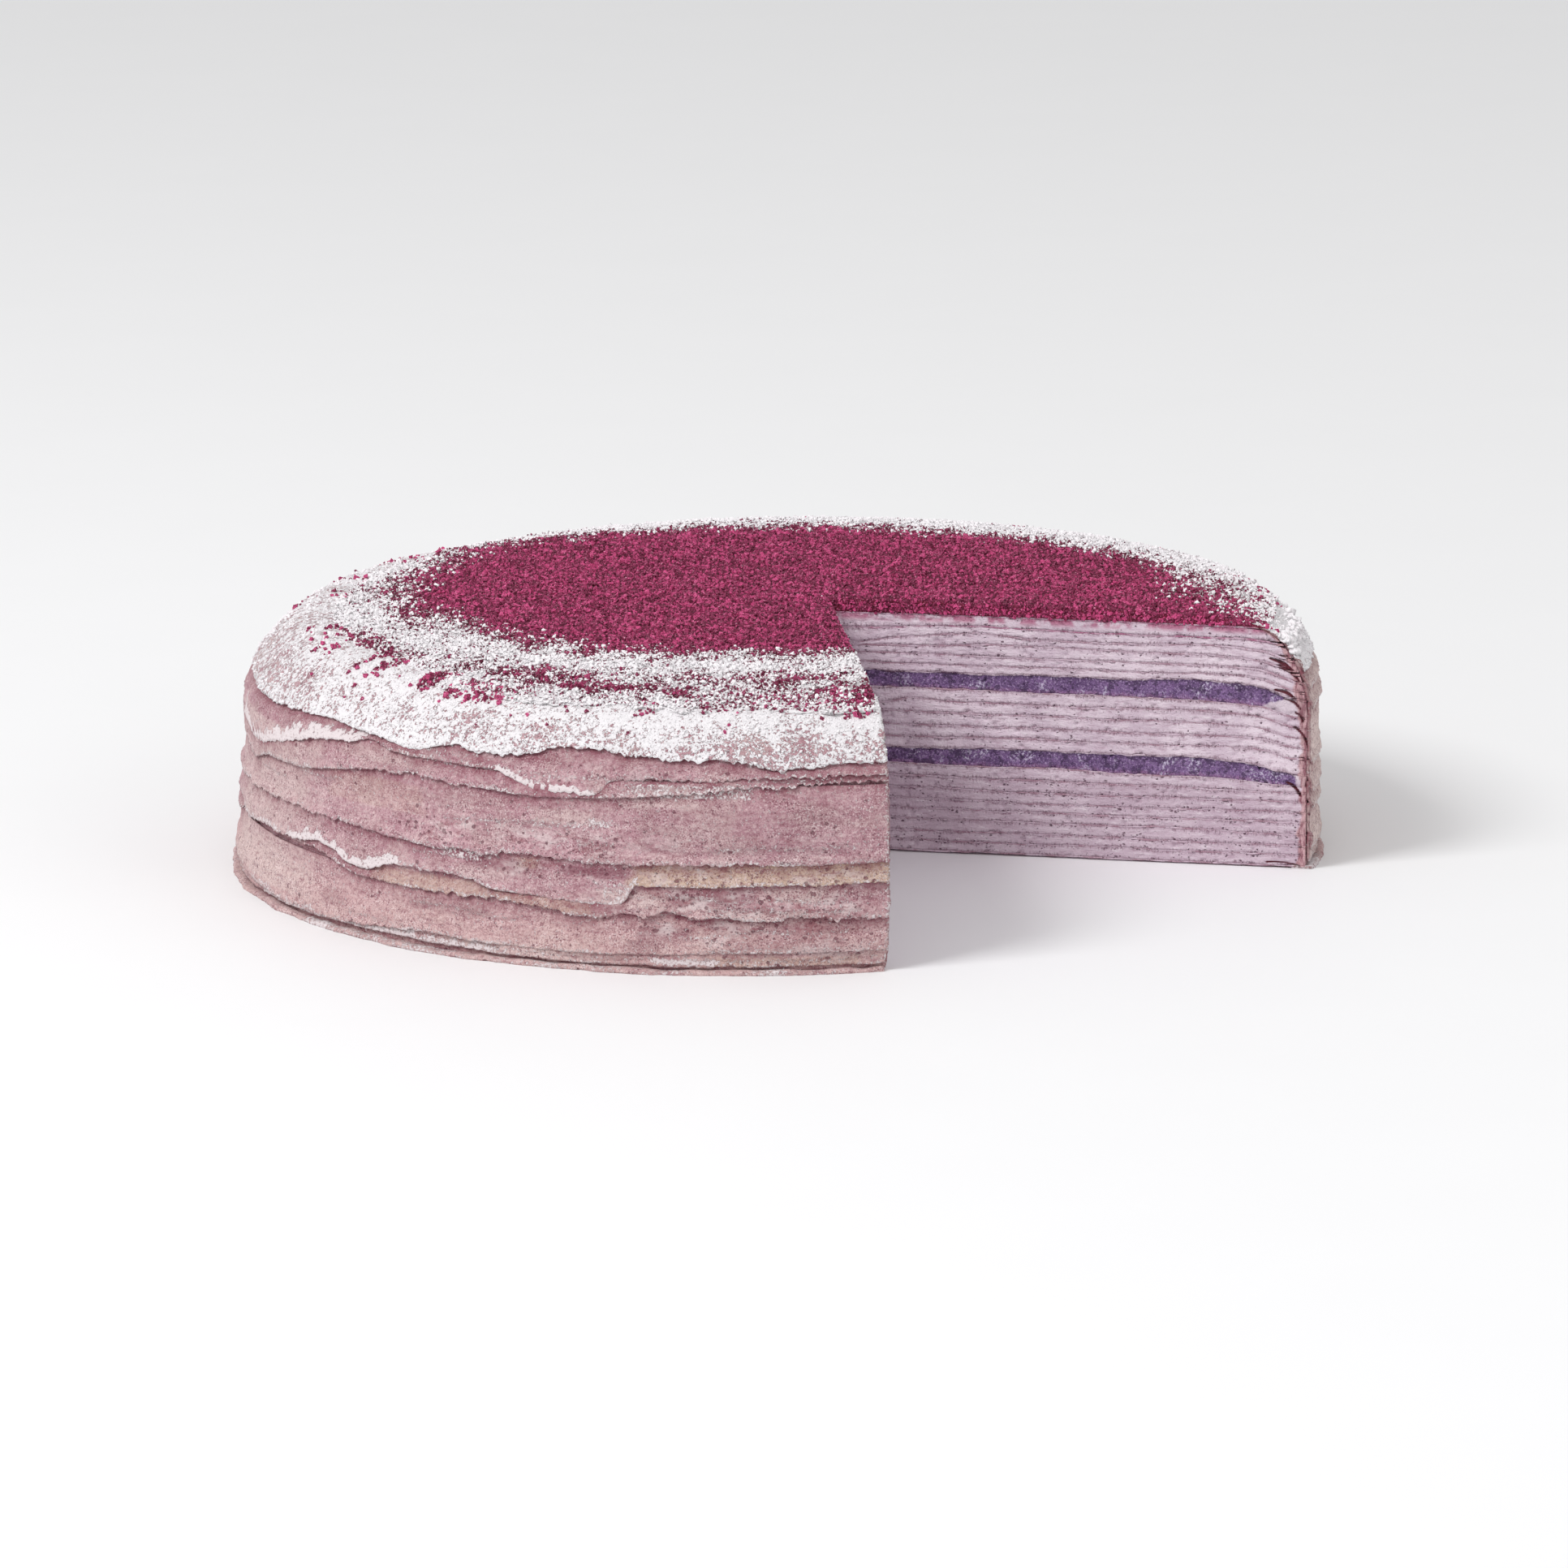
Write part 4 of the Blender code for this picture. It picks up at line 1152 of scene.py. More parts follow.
def skin_material(look):
    """The crepes: pinkish mauve, mottled, pored with holes painted dark, white and lacy along torn edges, painted with
    shadow under the hems, and sugared on top.
    """
    material, nodes, shader, where = new_material("crepe_skin")
    wide = nodes.add("ShaderNodeVectorMath", {0: where, 1: (0.7, 0.7, 1.5)}, operation="MULTIPLY").outputs[0]
    blotches = nodes.noise(wide, 5 * MM, 4.0, 0.6)
    base = nodes.mix(nodes.rise(blotches, 0.36, 0.64), (*look.skin_shade, 1), (*look.skin, 1))
    pale = nodes.noise(where, 13 * MM, 3.0)
    base = nodes.mix(nodes.math("MULTIPLY", nodes.rise(pale, 0.50, 0.68), 0.5), base, colour(206, 180, 178))
    mauve = nodes.noise(wide, 8 * MM, 3.0, 0.6)
    base = nodes.mix(nodes.math("MULTIPLY", nodes.rise(mauve, 0.50, 0.64), 0.55), base, colour(178, 146, 148))
    up = nodes.add("ShaderNodeSeparateXYZ", {0: where}).outputs[2]
    low = nodes.math("MULTIPLY", nodes.rise(up, 20 * MM, 3 * MM), 0.6)
    base = nodes.mix(low, base, colour(214, 182, 176))
    # pale patches, with painted light at the right end of the skins
    base = nodes.mix(nodes.math("MULTIPLY", nodes.value("pale"), 0.9), base, colour(228, 210, 204))
    base = nodes.mix(nodes.value("beige"), base, (*look.beige, 1))
    flat = nodes.add("ShaderNodeVectorMath", {0: where, 1: (0.35, 0.35, 1.5)}, operation="MULTIPLY").outputs[0]
    streaks = nodes.noise(flat, 1.4 * MM, 4.0, 0.65)
    base = nodes.mix(nodes.math("MULTIPLY", nodes.rise(streaks, 0.48, 0.32), 0.55), base, colour(144, 94, 106))
    base = nodes.mix(nodes.math("MULTIPLY", nodes.rise(streaks, 0.55, 0.70), 0.4), base, colour(222, 198, 198))
    suede = nodes.noise(where, 0.95 * MM, 5.0, 0.75)
    base = nodes.mix(nodes.math("MULTIPLY", nodes.rise(suede, 0.50, 0.36), 0.6), base, colour(138, 88, 98))
    base = nodes.mix(nodes.math("MULTIPLY", nodes.rise(suede, 0.52, 0.66), 0.6), base, colour(226, 204, 202))
    grainy = nodes.rise(nodes.noise(wide, 7 * MM, 3.0), 0.42, 0.60)
    base = speckled(nodes, where, base, colour(120, 74, 86), colour(236, 216, 218), 0.30 * MM,
                    nodes.math("MULTIPLY_ADD", grainy, 0.55, 0.45))
    # dark patches, and painted shade at the skins' ends by the right cut
    dark = nodes.value("dark")
    base = nodes.mix(nodes.math("MULTIPLY", dark, 0.75), base, colour(118, 66, 80))
    pored = nodes.value("pored")
    amount = nodes.math("MULTIPLY_ADD", pored, 0.62, nodes.math("MULTIPLY_ADD", grainy, 0.12, 0.04))
    clotted = nodes.math("MULTIPLY", nodes.rise(nodes.noise(wide, 4.5 * MM, 4.0, 0.65), 0.50, 0.62), pored)
    base = nodes.mix(nodes.math("MULTIPLY", clotted, 0.65), base, colour(228, 212, 212))
    bruised = nodes.math("MULTIPLY", nodes.rise(nodes.noise(wide, 3 * MM, 4.0, 0.65), 0.46, 0.36), pored)
    base = nodes.mix(nodes.math("MULTIPLY", bruised, 0.6), base, colour(140, 80, 88))
    holes = use_group(nodes, pores_group(), Position=where, Spacing=1.5 * MM, Amount=amount, Stretch=(1, 1, 1.25))
    small = use_group(nodes, pores_group(), Position=where, Spacing=0.6 * MM, Amount=nodes.math("MULTIPLY", amount, 1.2))
    # painted shade: the holes are coloured dark red, as shade inside each hole
    base = nodes.mix(nodes.math("MULTIPLY", holes["Mask"], 0.7), base, colour(104, 52, 66))
    base = nodes.mix(nodes.math("MULTIPLY", small["Mask"], 0.6), base, colour(112, 60, 74))
    # painted shadow under each hem, with some dark red stain, broken up by noise
    uneven = nodes.rise(nodes.noise(where, 3.5 * MM, 4.0, 0.65), 0.32, 0.62)
    shade = nodes.math("MULTIPLY", nodes.value("shade"), nodes.math("MULTIPLY_ADD", uneven, 0.7, 0.25))
    base = nodes.mix(nodes.math("MULTIPLY", shade, 0.95), base, colour(126, 58, 74))
    flecks = nodes.noise(where, 0.55 * MM, 3.0, 0.65)
    white = nodes.math("MAXIMUM", nodes.math("MULTIPLY", nodes.value("lace"), 0.62), nodes.value("white"))
    lacy = nodes.rise(nodes.math("MULTIPLY_ADD", white, 0.30, flecks), 0.60, 0.72)
    base = nodes.mix(lacy, base, colour(228, 216, 218))
    powder = use_group(nodes, powder_group(), Position=where, Cover=nodes.value("sugar"), Clump=1.6 * MM)
    base = nodes.mix(powder["Mask"], base, (*look.sugar, 1))
    nodes.put(shader.inputs["Base Color"], base)
    shader.inputs["Roughness"].default_value = 0.68
    shader.inputs["Specular IOR Level"].default_value = 0.3
    height = nodes.math("SUBTRACT", nodes.math("MULTIPLY", nodes.noise(where, 0.5 * MM, 4.0, 0.6), 0.6), holes["Mask"])
    height = nodes.math("SUBTRACT", height, nodes.math("MULTIPLY", small["Mask"], 0.5))
    height = nodes.math("ADD", height, nodes.math("MULTIPLY", streaks, 1.2))
    height = nodes.math("ADD", height, nodes.math("MULTIPLY", suede, 1.0))
    height = nodes.math("ADD", height, nodes.math("MULTIPLY", powder["Height"], 1.4))
    height = nodes.math("ADD", height, nodes.math("MULTIPLY", lacy, 0.5))
    bumpy(nodes, shader, height, 0.3 * MM, 0.9)
    return material


def line_material(look, name, line, strength):
    """The cut edge of a crepe: a thin darker line that fades in and out."""
    material, nodes, shader, where = new_material(name)
    stretched = nodes.add("ShaderNodeVectorMath", {0: where, 1: (1, 1, 0.6)}, operation="MULTIPLY").outputs[0]
    fade = nodes.rise(nodes.noise(stretched, 4.5 * MM, 5.0, 0.7), 0.42, 0.60)
    base = nodes.mix(nodes.math("MULTIPLY_ADD", fade, strength, 1 - strength), (*look.cream_shade, 1), line)
    base = speckled(nodes, where, base, colour(104, 66, 82), colour(206, 178, 190), 0.35 * MM, 0.6)
    holes = use_group(nodes, pores_group(), Position=where, Spacing=0.6 * MM, Amount=0.3, Stretch=(0.7, 0.7, 1.2))
    # painted shade: the pores are coloured dark, as shade inside each hole
    base = nodes.mix(nodes.math("MULTIPLY", holes["Mask"], 0.75), base, colour(78, 48, 62))
    base = gathered_skins(nodes, where, base)
    nodes.put(shader.inputs["Base Color"], base)
    shader.inputs["Roughness"].default_value = 0.7
    bumpy(nodes, shader, nodes.noise(where, 0.35 * MM, 3.0), 0.2 * MM, 0.6)
    return material


def paste_material(look):
    """Yam paste: grainy and moist with painted glints, darker along its upper side with painted shadow, and pinker
    along its lower side.
    """
    material, nodes, shader, where = new_material("purple_yam_paste")
    broad = nodes.noise(where, 4 * MM, 3.0)
    base = nodes.mix(nodes.rise(broad, 0.36, 0.64), (*look.paste_shade, 1), (*look.paste, 1))
    within = nodes.value("within")
    uneven = nodes.math("MULTIPLY_ADD", nodes.noise(where, 1.2 * MM, 3.0), 0.5, -0.25)
    level = nodes.math("ADD", within, uneven)
    base = nodes.mix(nodes.math("MULTIPLY", nodes.rise(level, 0.28, 0.02), 0.8), base, colour(158, 112, 156))
    # painted shadow along the upper side, under the crepe that overhangs the paste
    base = nodes.mix(nodes.math("MULTIPLY", nodes.rise(level, 0.78, 1.0), 0.75), base, colour(70, 42, 80))
    base = speckled(nodes, where, base, colour(66, 42, 82), colour(186, 160, 200), 0.4 * MM, 0.85)
    # painted glints: pale lilac specks where the moist paste catches the light
    painted_glints = nodes.math("MULTIPLY", nodes.rise(nodes.noise(where, 5 * MM, 2.0), 0.52, 0.62),
                     nodes.rise(nodes.noise(where, 0.6 * MM, 3.0, 0.65), 0.50, 0.60))
    base = nodes.mix(nodes.math("MULTIPLY", painted_glints, 0.9), base, colour(216, 204, 230))
    lumps = nodes.rise(nodes.noise(where, 1.6 * MM, 3.0, 0.6), 0.50, 0.36)
    base = nodes.mix(nodes.math("MULTIPLY", lumps, 0.72), base, colour(62, 36, 76))
    cream = nodes.mix(nodes.rise(broad, 0.4, 0.6), (*look.cream_shade, 1), (*look.cream, 1))
    base = nodes.mix(nodes.value("ended"), base, cream)
    base = gathered_skins(nodes, where, base)
    nodes.put(shader.inputs["Base Color"], base)
    glints = nodes.noise(where, 0.35 * MM, 2.0)
    nodes.put(shader.inputs["Roughness"], nodes.math("MULTIPLY_ADD", nodes.rise(glints, 0.60, 0.5), 0.40, 0.18))
    bumpy(nodes, shader, nodes.noise(where, 0.7 * MM, 4.0, 0.7), 0.7 * MM, 1.0)
    return material


def crumb_material(look):
    """Crumbs: magenta, no two quite alike, with painted shade between grains and painted bright flecks of light, and
    powdered where the ring is, with a painted glow.
    """
    material, nodes, shader, where = new_material("cake_crumbs")
    tint = nodes.value("tint")
    cell = nodes.add("ShaderNodeTexVoronoi", {"Vector": where, "Scale": 1 / (0.6 * MM)})
    own = nodes.add("ShaderNodeSeparateColor", {0: cell.outputs["Color"]}).outputs[0]
    own = nodes.math("MULTIPLY_ADD", tint, 0.7, nodes.math("MULTIPLY", own, 0.3))
    base = nodes.mix(nodes.rise(own, 0.2, 0.8), (*look.crumb_shade, 1), (*look.crumb, 1))
    fine = nodes.noise(where, 0.35 * MM, 3.0, 0.65)
    # painted shadow and highlights: dark specks for shade between grains, pink ones for lit tops, and pale glints,
    # partly sugar sparkle
    base = nodes.mix(nodes.math("MULTIPLY", nodes.rise(fine, 0.48, 0.37), 0.85), base, colour(58, 8, 30))
    base = nodes.mix(nodes.math("MULTIPLY", nodes.rise(fine, 0.54, 0.66), 0.85), base, colour(228, 112, 160))
    base = nodes.mix(nodes.math("MULTIPLY", nodes.rise(fine, 0.64, 0.71), 0.9), base, colour(246, 214, 228))
    raw = nodes.value("raw")
    base = nodes.mix(nodes.math("MULTIPLY", raw, 0.5), base, colour(120, 20, 42))
    up = nodes.add("ShaderNodeSeparateXYZ", {0: nodes.add("ShaderNodeNewGeometry").outputs["Normal"]}).outputs[2]
    cover = nodes.value("sugar")
    base = nodes.mix(nodes.math("MULTIPLY", nodes.rise(cover, 0.1, 0.5), 0.6), base, colour(104, 18, 50))
    facing = nodes.math("MULTIPLY", nodes.math("SUBTRACT", up, 0.45), 0.22)
    seen = nodes.math("MULTIPLY_ADD", nodes.rise(cover, 0.02, 0.3), facing, cover)
    powder = use_group(nodes, powder_group(), Position=where, Cover=seen, Clump=3.0 * MM)
    base = nodes.mix(powder["Mask"], base, (*look.sugar, 1))
    nodes.put(shader.inputs["Base Color"], base)
    # painted glow: the powder emits a little light, standing in for light it scatters
    shader.inputs["Emission Color"].default_value = (*look.sugar, 1)
    nodes.put(shader.inputs["Emission Strength"], nodes.math("MULTIPLY", powder["Mask"], PAINTED_SUGAR_GLOW))
    glint = nodes.rise(nodes.noise(where, 0.3 * MM, 1.0), 0.60, 0.68)
    nodes.put(shader.inputs["Roughness"], nodes.math("MULTIPLY_ADD", glint, -0.55, 0.80))
    height = nodes.math("ADD", fine, nodes.math("MULTIPLY", powder["Height"], 0.8))
    bumpy(nodes, shader, height, 0.45 * MM, 0.9, fluffy_normal(nodes, nodes.math("MULTIPLY", powder["Mask"], 1.7)))
    return material


def sugar_material(look):
    material, nodes, shader, where = new_material("powdered_sugar")
    clumps = nodes.noise(where, 0.8 * MM, 3.0)
    base = nodes.mix(nodes.rise(clumps, 0.32, 0.5), colour(222, 212, 217), (*look.sugar, 1))
    nodes.put(shader.inputs["Base Color"], base)
    # painted glow: the sugar emits a little light, standing in for light it scatters
    shader.inputs["Emission Color"].default_value = (*look.sugar, 1)
    shader.inputs["Emission Strength"].default_value = PAINTED_SUGAR_GLOW
    nodes.put(shader.inputs["Roughness"], nodes.math("MULTIPLY_ADD", clumps, 0.2, 0.75))
    bumpy(nodes, shader, nodes.noise(where, 0.25 * MM, 2.0), 0.1 * MM, 0.5, fluffy_normal(nodes, 1.3))
    return material


def floor_material(look):
    material, nodes, shader, where = new_material("pale_floor")
    grain = nodes.noise(where, 40 * MM, 3.0)
    base = nodes.mix(grain, colour(248, 248, 249), colour(250, 250, 251))
    nodes.put(shader.inputs["Base Color"], base)
    shader.inputs["Roughness"].default_value = 0.6
    return material


# ---------------------------------------------------------------- scattering

def scatter_tree(name, facets):
    """A Geometry Nodes tree that strews lumps over a mesh. facets: how many triangles a lump has, 8, 12 or 20."""
    tree = bpy.data.node_groups.new(name, "GeometryNodeTree")
    face = tree.interface
    face.new_socket("Geometry", in_out="INPUT", socket_type="NodeSocketGeometry")
    sockets = (("Per Square Metre", "NodeSocketFloat"), ("Least Gap", "NodeSocketFloat"),
               ("Smallest", "NodeSocketFloat"), ("Largest", "NodeSocketFloat"), ("Sunk", "NodeSocketFloat"),
               ("Seed", "NodeSocketInt"), ("Density", "NodeSocketString"), ("Material", "NodeSocketMaterial"))
    ids = {label: face.new_socket(label, in_out="INPUT", socket_type=kind).identifier for label, kind in sockets}
    face.new_socket("Geometry", in_out="OUTPUT", socket_type="NodeSocketGeometry")
    nodes = Nodes(tree)
    entry = nodes.add("NodeGroupInput").outputs
    density = nodes.add("GeometryNodeInputNamedAttribute", {"Name": entry["Density"]}, data_type="FLOAT")
    spread = nodes.add("GeometryNodeDistributePointsOnFaces", {
        "Mesh": entry["Geometry"], "Distance Min": entry["Least Gap"], "Density Max": entry["Per Square Metre"],
        "Density Factor": density.outputs["Attribute"], "Seed": entry["Seed"]}, distribute_method="POISSON")
    lumps = nodes.add("GeometryNodeJoinGeometry")
    for shape in range(6):
        if facets == 20:
            ball = nodes.add("GeometryNodeMeshIcoSphere", {"Radius": 0.5, "Subdivisions": 1}).outputs["Mesh"]
        elif facets == 12:
            ball = nodes.add("GeometryNodeMeshCube", {"Size": (0.72, 0.72, 0.72)}).outputs["Mesh"]
        else:
            ball = nodes.add("GeometryNodeMeshUVSphere", {"Segments": 4, "Rings": 2, "Radius": 0.55}).outputs["Mesh"]
        at = nodes.add("GeometryNodeInputPosition").outputs[0]
        shifted = nodes.add("ShaderNodeVectorMath", {0: at, 1: (3.1 * shape, 1.7, 0.4)}, operation="ADD").outputs[0]
        push = nodes.add("ShaderNodeTexNoise", {"Vector": shifted, "Scale": 1.6, "Detail": 1.0})
        away = nodes.add("ShaderNodeVectorMath", {0: push.outputs["Color"], 1: (0.5, 0.5, 0.5)}, operation="SUBTRACT")
        strong = nodes.add("ShaderNodeVectorMath", {0: away.outputs[0], "Scale": 1.25}, operation="SCALE")
        moved = nodes.add("GeometryNodeSetPosition", {"Geometry": ball, "Offset": strong.outputs[0]})
        single = nodes.add("GeometryNodeGeometryToInstance", {0: moved.outputs[0]})
        tree.links.new(single.outputs[0], lumps.inputs[0])
    turned = nodes.add("FunctionNodeRandomValue", {0: (0, 0, 0), 1: (6.28, 6.28, 6.28), "Seed": 3},
                       data_type="FLOAT_VECTOR").outputs[0]
    pull = nodes.add("FunctionNodeRandomValue", {2: 0.0, 3: 1.0, "Seed": 5}, data_type="FLOAT").outputs[1]
    squared = nodes.math("POWER", pull, 1.6)
    size = nodes.math("MULTIPLY_ADD", squared, nodes.math("SUBTRACT", entry["Largest"], entry["Smallest"]),
                      entry["Smallest"])
    strewn = nodes.add("GeometryNodeInstanceOnPoints", {
        "Points": spread.outputs["Points"], "Instance": lumps.outputs[0], "Pick Instance": True,
        "Rotation": turned, "Scale": size})
    tint = nodes.add("FunctionNodeRandomValue", {2: 0.0, 3: 1.0, "Seed": 9}, data_type="FLOAT").outputs[1]
    marked = nodes.add("GeometryNodeStoreNamedAttribute", {
        "Geometry": strewn.outputs[0], "Name": "tint", "Value": tint}, data_type="FLOAT", domain="INSTANCE")
    sunk = nodes.add("GeometryNodeTranslateInstances", {"Instances": marked.outputs[0]})
    drop = nodes.add("ShaderNodeCombineXYZ", {2: entry["Sunk"]})
    nodes.put(sunk.inputs["Translation"], drop.outputs[0])
    sunk.inputs["Local Space"].default_value = False
    solid = nodes.add("GeometryNodeRealizeInstances", {0: sunk.outputs[0]})
    finished = nodes.add("GeometryNodeSetMaterial", {"Geometry": solid.outputs[0], "Material": entry["Material"]})
    leave = nodes.add("NodeGroupOutput")
    nodes.put(leave.inputs[0], finished.outputs[0])
    return tree, ids


def scatter(name, over, facets, material, **settings):
    """Strews lumps over a mesh, and returns them as one plain mesh object."""
    host = bpy.data.objects.new(name + "_host", over)
    bpy.context.scene.collection.objects.link(host)
    tree, ids = scatter_tree(name, facets)
    strew = host.modifiers.new("strew", "NODES")
    strew.node_group = tree
    for label, value in settings.items():
        strew[ids[label.replace("_", " ")]] = value
    strew[ids["Material"]] = material
    graph = bpy.context.evaluated_depsgraph_get()
    mesh = bpy.data.meshes.new_from_object(host.evaluated_get(graph))
    mesh.name = name
    bpy.data.objects.remove(host)
    bpy.data.node_groups.remove(tree)
    if not len(mesh.polygons):
        raise RuntimeError(f"{name}: nothing was strewn")
    piece = bpy.data.objects.new(name, mesh)
    bpy.context.scene.collection.objects.link(piece)
    return piece


def clumped(mesh, size):
    """Gathers the sugar on a mesh into clumps of this size in mm, with thin powder between them."""
    points = points_of(mesh)
    held = np.empty(len(points), np.float32)
    mesh.attributes["sugar"].data.foreach_get("value", held)
    gathered = smooth(noise(points, size * MM, 171), -0.5, 0.3)
    mesh.attributes["sugar"].data.foreach_set("value", (held**1.5 * (0.2 + 0.8 * gathered)).astype(np.float32))
    return mesh


def points_of(mesh):
    points = np.empty(len(mesh.vertices) * 3, np.float32)
    mesh.vertices.foreach_get("co", points)
    return points.reshape(-1, 3).astype(float)


# ---------------------------------------------------------------- settings, operators and panel

LENGTH = {"subtype": "DISTANCE", "unit": "LENGTH"}
COLOUR = {"subtype": "COLOR", "size": 3, "min": 0.0, "max": 1.0}


class CakeSizes(bpy.types.PropertyGroup):
    """Sizes that decide how fine the cake is made."""

    cut_detail: bpy.props.FloatProperty(
        name="Cut Detail", description="Spacing of the points along the cut sides", default=0.34 * MM, **LENGTH)
    skin_detail: bpy.props.FloatProperty(
        name="Skin Detail", description="Spacing of the points on the hanging skins", default=0.36 * MM, **LENGTH)
    crumb_detail: bpy.props.FloatProperty(
        name="Crumb Detail", description="Spacing of the points on the crumb bed", default=0.62 * MM, **LENGTH)
    crumb_size: bpy.props.FloatProperty(
        name="Crumb Size", description="Largest loose crumb", default=1.35 * MM, **LENGTH)
    grain_size: bpy.props.FloatProperty(
        name="Sugar Size", description="Largest clump of sugar", default=0.75 * MM, **LENGTH)


class CakeLook(bpy.types.PropertyGroup):
    """Colours of the cake's finishes."""

    cream: bpy.props.FloatVectorProperty(
        name="Cream", description="Whipped cream", default=colour(231, 214, 225)[:3], **COLOUR)
    cream_shade: bpy.props.FloatVectorProperty(
        name="Cream Shade", description="Denser cream", default=colour(212, 192, 206)[:3], **COLOUR)
    skin: bpy.props.FloatVectorProperty(
        name="Skin", description="Outer crepes", default=colour(198, 158, 166)[:3], **COLOUR)
    skin_shade: bpy.props.FloatVectorProperty(
        name="Skin Shade", description="Browner outer crepes", default=colour(178, 134, 144)[:3], **COLOUR)
    beige: bpy.props.FloatVectorProperty(
        name="Beige", description="Paler crepes", default=colour(206, 180, 160)[:3], **COLOUR)
    paste: bpy.props.FloatVectorProperty(
        name="Yam Paste", description="Purple yam paste", default=colour(132, 98, 150)[:3], **COLOUR)
    paste_shade: bpy.props.FloatVectorProperty(
        name="Yam Paste Shade", description="Darker yam paste", default=colour(104, 72, 122)[:3], **COLOUR)
    crumb: bpy.props.FloatVectorProperty(
        name="Crumbs", description="Brighter crumbs", default=colour(222, 80, 140)[:3], **COLOUR)
    crumb_shade: bpy.props.FloatVectorProperty(
        name="Dark Crumbs", description="Darker crumbs", default=colour(118, 22, 62)[:3], **COLOUR)
    sugar: bpy.props.FloatVectorProperty(
        name="Sugar", description="Powdered sugar", default=colour(246, 242, 245)[:3], **COLOUR)


def settle(piece, slot, *nodes):
    """A finished piece rides on the cake and stands for its solids."""
    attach(piece, "root")
    if nodes:
        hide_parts(*nodes)


class CAKE_OT_fillings(bpy.types.Operator):
    """Cream between the crepes, and two layers of purple yam paste"""

    bl_idname = "cake.fillings"
    bl_label = "Fillings"

    def execute(self, context):
        sizes, look = context.scene.cake_sizes, context.scene.cake_look
        way = outline(sizes.cut_detail, 2.5 * MM)
        cream, paste, skin = cream_material(look), paste_material(look), skin_material(look)
        number = 0
        for below in range(1, CREPES):
            shell = Shell()
            is_paste = below in PASTE_ABOVE_CREPE
            if is_paste:
                name = PASTE_ABOVE_CREPE[below]
            else:
                number += 1
                name = f"cream_{number:02d}"
            bottom_at = lambda x, y, below=below: crepe_surface(below, x, y)
            top_at = lambda x, y, below=below: crepe_surface(below + 1, x, y) - crepe_thickness(below + 1, x, y)
            level = 0.5 * (crepe_top(below) + crepe_top(below + 1))
            thick = crepe_top(below + 1) - crepe_top(below)
            rows = max(5, round(thick / (0.30 * MM)))
            layer_shell(shell, bottom_at, top_at, level, rows, True, way,
                        setback=0.05 * MM, ends=PASTE_ENDS.get(below, (1000.0, 0.0)))
            piece = shell.finish(name + "_layer", paste if is_paste else cream, skin)
            settle(piece, "yam_paste" if is_paste else "cream", name)
        return {"FINISHED"}


class CAKE_OT_crepes(bpy.types.Operator):
    """Crepes: thin lines on the cuts, and the wide ones hang down the side as ragged skins"""

    bl_idname = "cake.crepes"
    bl_label = "Crepes"

    def execute(self, context):
        sizes, look = context.scene.cake_sizes, context.scene.cake_look
        way = outline(sizes.cut_detail, 2.5 * MM)
        skin = bpy.data.materials["crepe_skin"]
        line = line_material(look, "crepe_edge", colour(170, 132, 148), 0.9)
        pink = line_material(look, "stained_crepe_edge", colour(172, 104, 136), 0.75)
        # painted shadow: the crepe edge just above each paste layer is dark purple, for the shaded gap over the paste
        shadow = line_material(look, "crepe_edge_painted_shadow_on_paste", colour(74, 44, 74), 0.9)
        for number in range(1, CREPES + 1):
            name = f"crepe_{number:02d}"
            edge_finish = line
            if number in (CREPES, CREPES - 1):
                edge_finish = pink
            if number - 1 in PASTE_ABOVE_CREPE:
                edge_finish = shadow
            shell = Shell()
            top_at = lambda x, y, number=number: crepe_surface(number, x, y)
            bottom_at = lambda x, y, number=number: crepe_surface(number, x, y) - crepe_thickness(number, x, y)
            layer_shell(shell, bottom_at, top_at, crepe_top(number), 2, False, way, setback=0.0)
            if number == 1:
                base_crepe_rim(shell)
            if number in WIDE_CREPES:
                skin_shell(shell, number, sizes.skin_detail * (1.3 if number == CREPES else 1.0))
            piece = shell.finish(name + "_sheet", edge_finish, skin)
            settle(piece, "crepe", name)
        return {"FINISHED"}


def base_crepe_rim(shell):
    """The lowest crepe sticks out flat on the plate, with a torn edge."""
    turns = np.arange(RIGHT_CUT, FRONT_CUT, 0.4 * MM / CORE_RADIUS)
    turns[-1] = FRONT_CUT
    ring = np.column_stack([CORE_RADIUS * np.cos(turns), CORE_RADIUS * np.sin(turns), np.zeros(len(turns))])
    reach = 1.9 * MM + 0.9 * MM * rough(ring, 9 * MM, 161) + 0.35 * MM * rough(ring, 1.5 * MM, 165)
    thick = 0.85 * MM + 0.3 * MM * noise(ring, 3 * MM, 168)
    columns = len(turns)
    section = ((-3 * MM, 0.02, 0.0), (0.0, 0.02, 1.0), (0.0, 0.5, 1.0), (-0.3 * MM, 1.0, 0.9), (-3 * MM, 1.0, 0.0))
    points = []
    for inset, up, out in section:
        height = np.maximum(up * thick, 0.02 * MM)
        radius = CORE_RADIUS + out * np.maximum(reach, 0.3 * MM) + inset
        points.append(np.column_stack([spot_on(radius, turns, 1.0, height), height]))
    quads = []
    column = np.arange(columns - 1)
    for row in range(len(section)):
        after = (row + 1) % len(section)
        quads.append(np.column_stack([row * columns + column, row * columns + column + 1,
                                      after * columns + column + 1, after * columns + column]))
    ends = []
    for end in (0, columns - 1):
        loop = [row * columns + end for row in range(len(section))]
        fan = [(loop[0], loop[step], loop[step + 1]) for step in range(1, len(loop) - 1)]
        ends += fan if end == 0 else [face[::-1] for face in fan]
    shell.add(np.vstack(points), np.vstack(quads), np.array(ends), finish=1,
              white=np.tile(np.clip(rough(ring, 12 * MM, 171) + 0.2, 0, 0.8), len(section)))


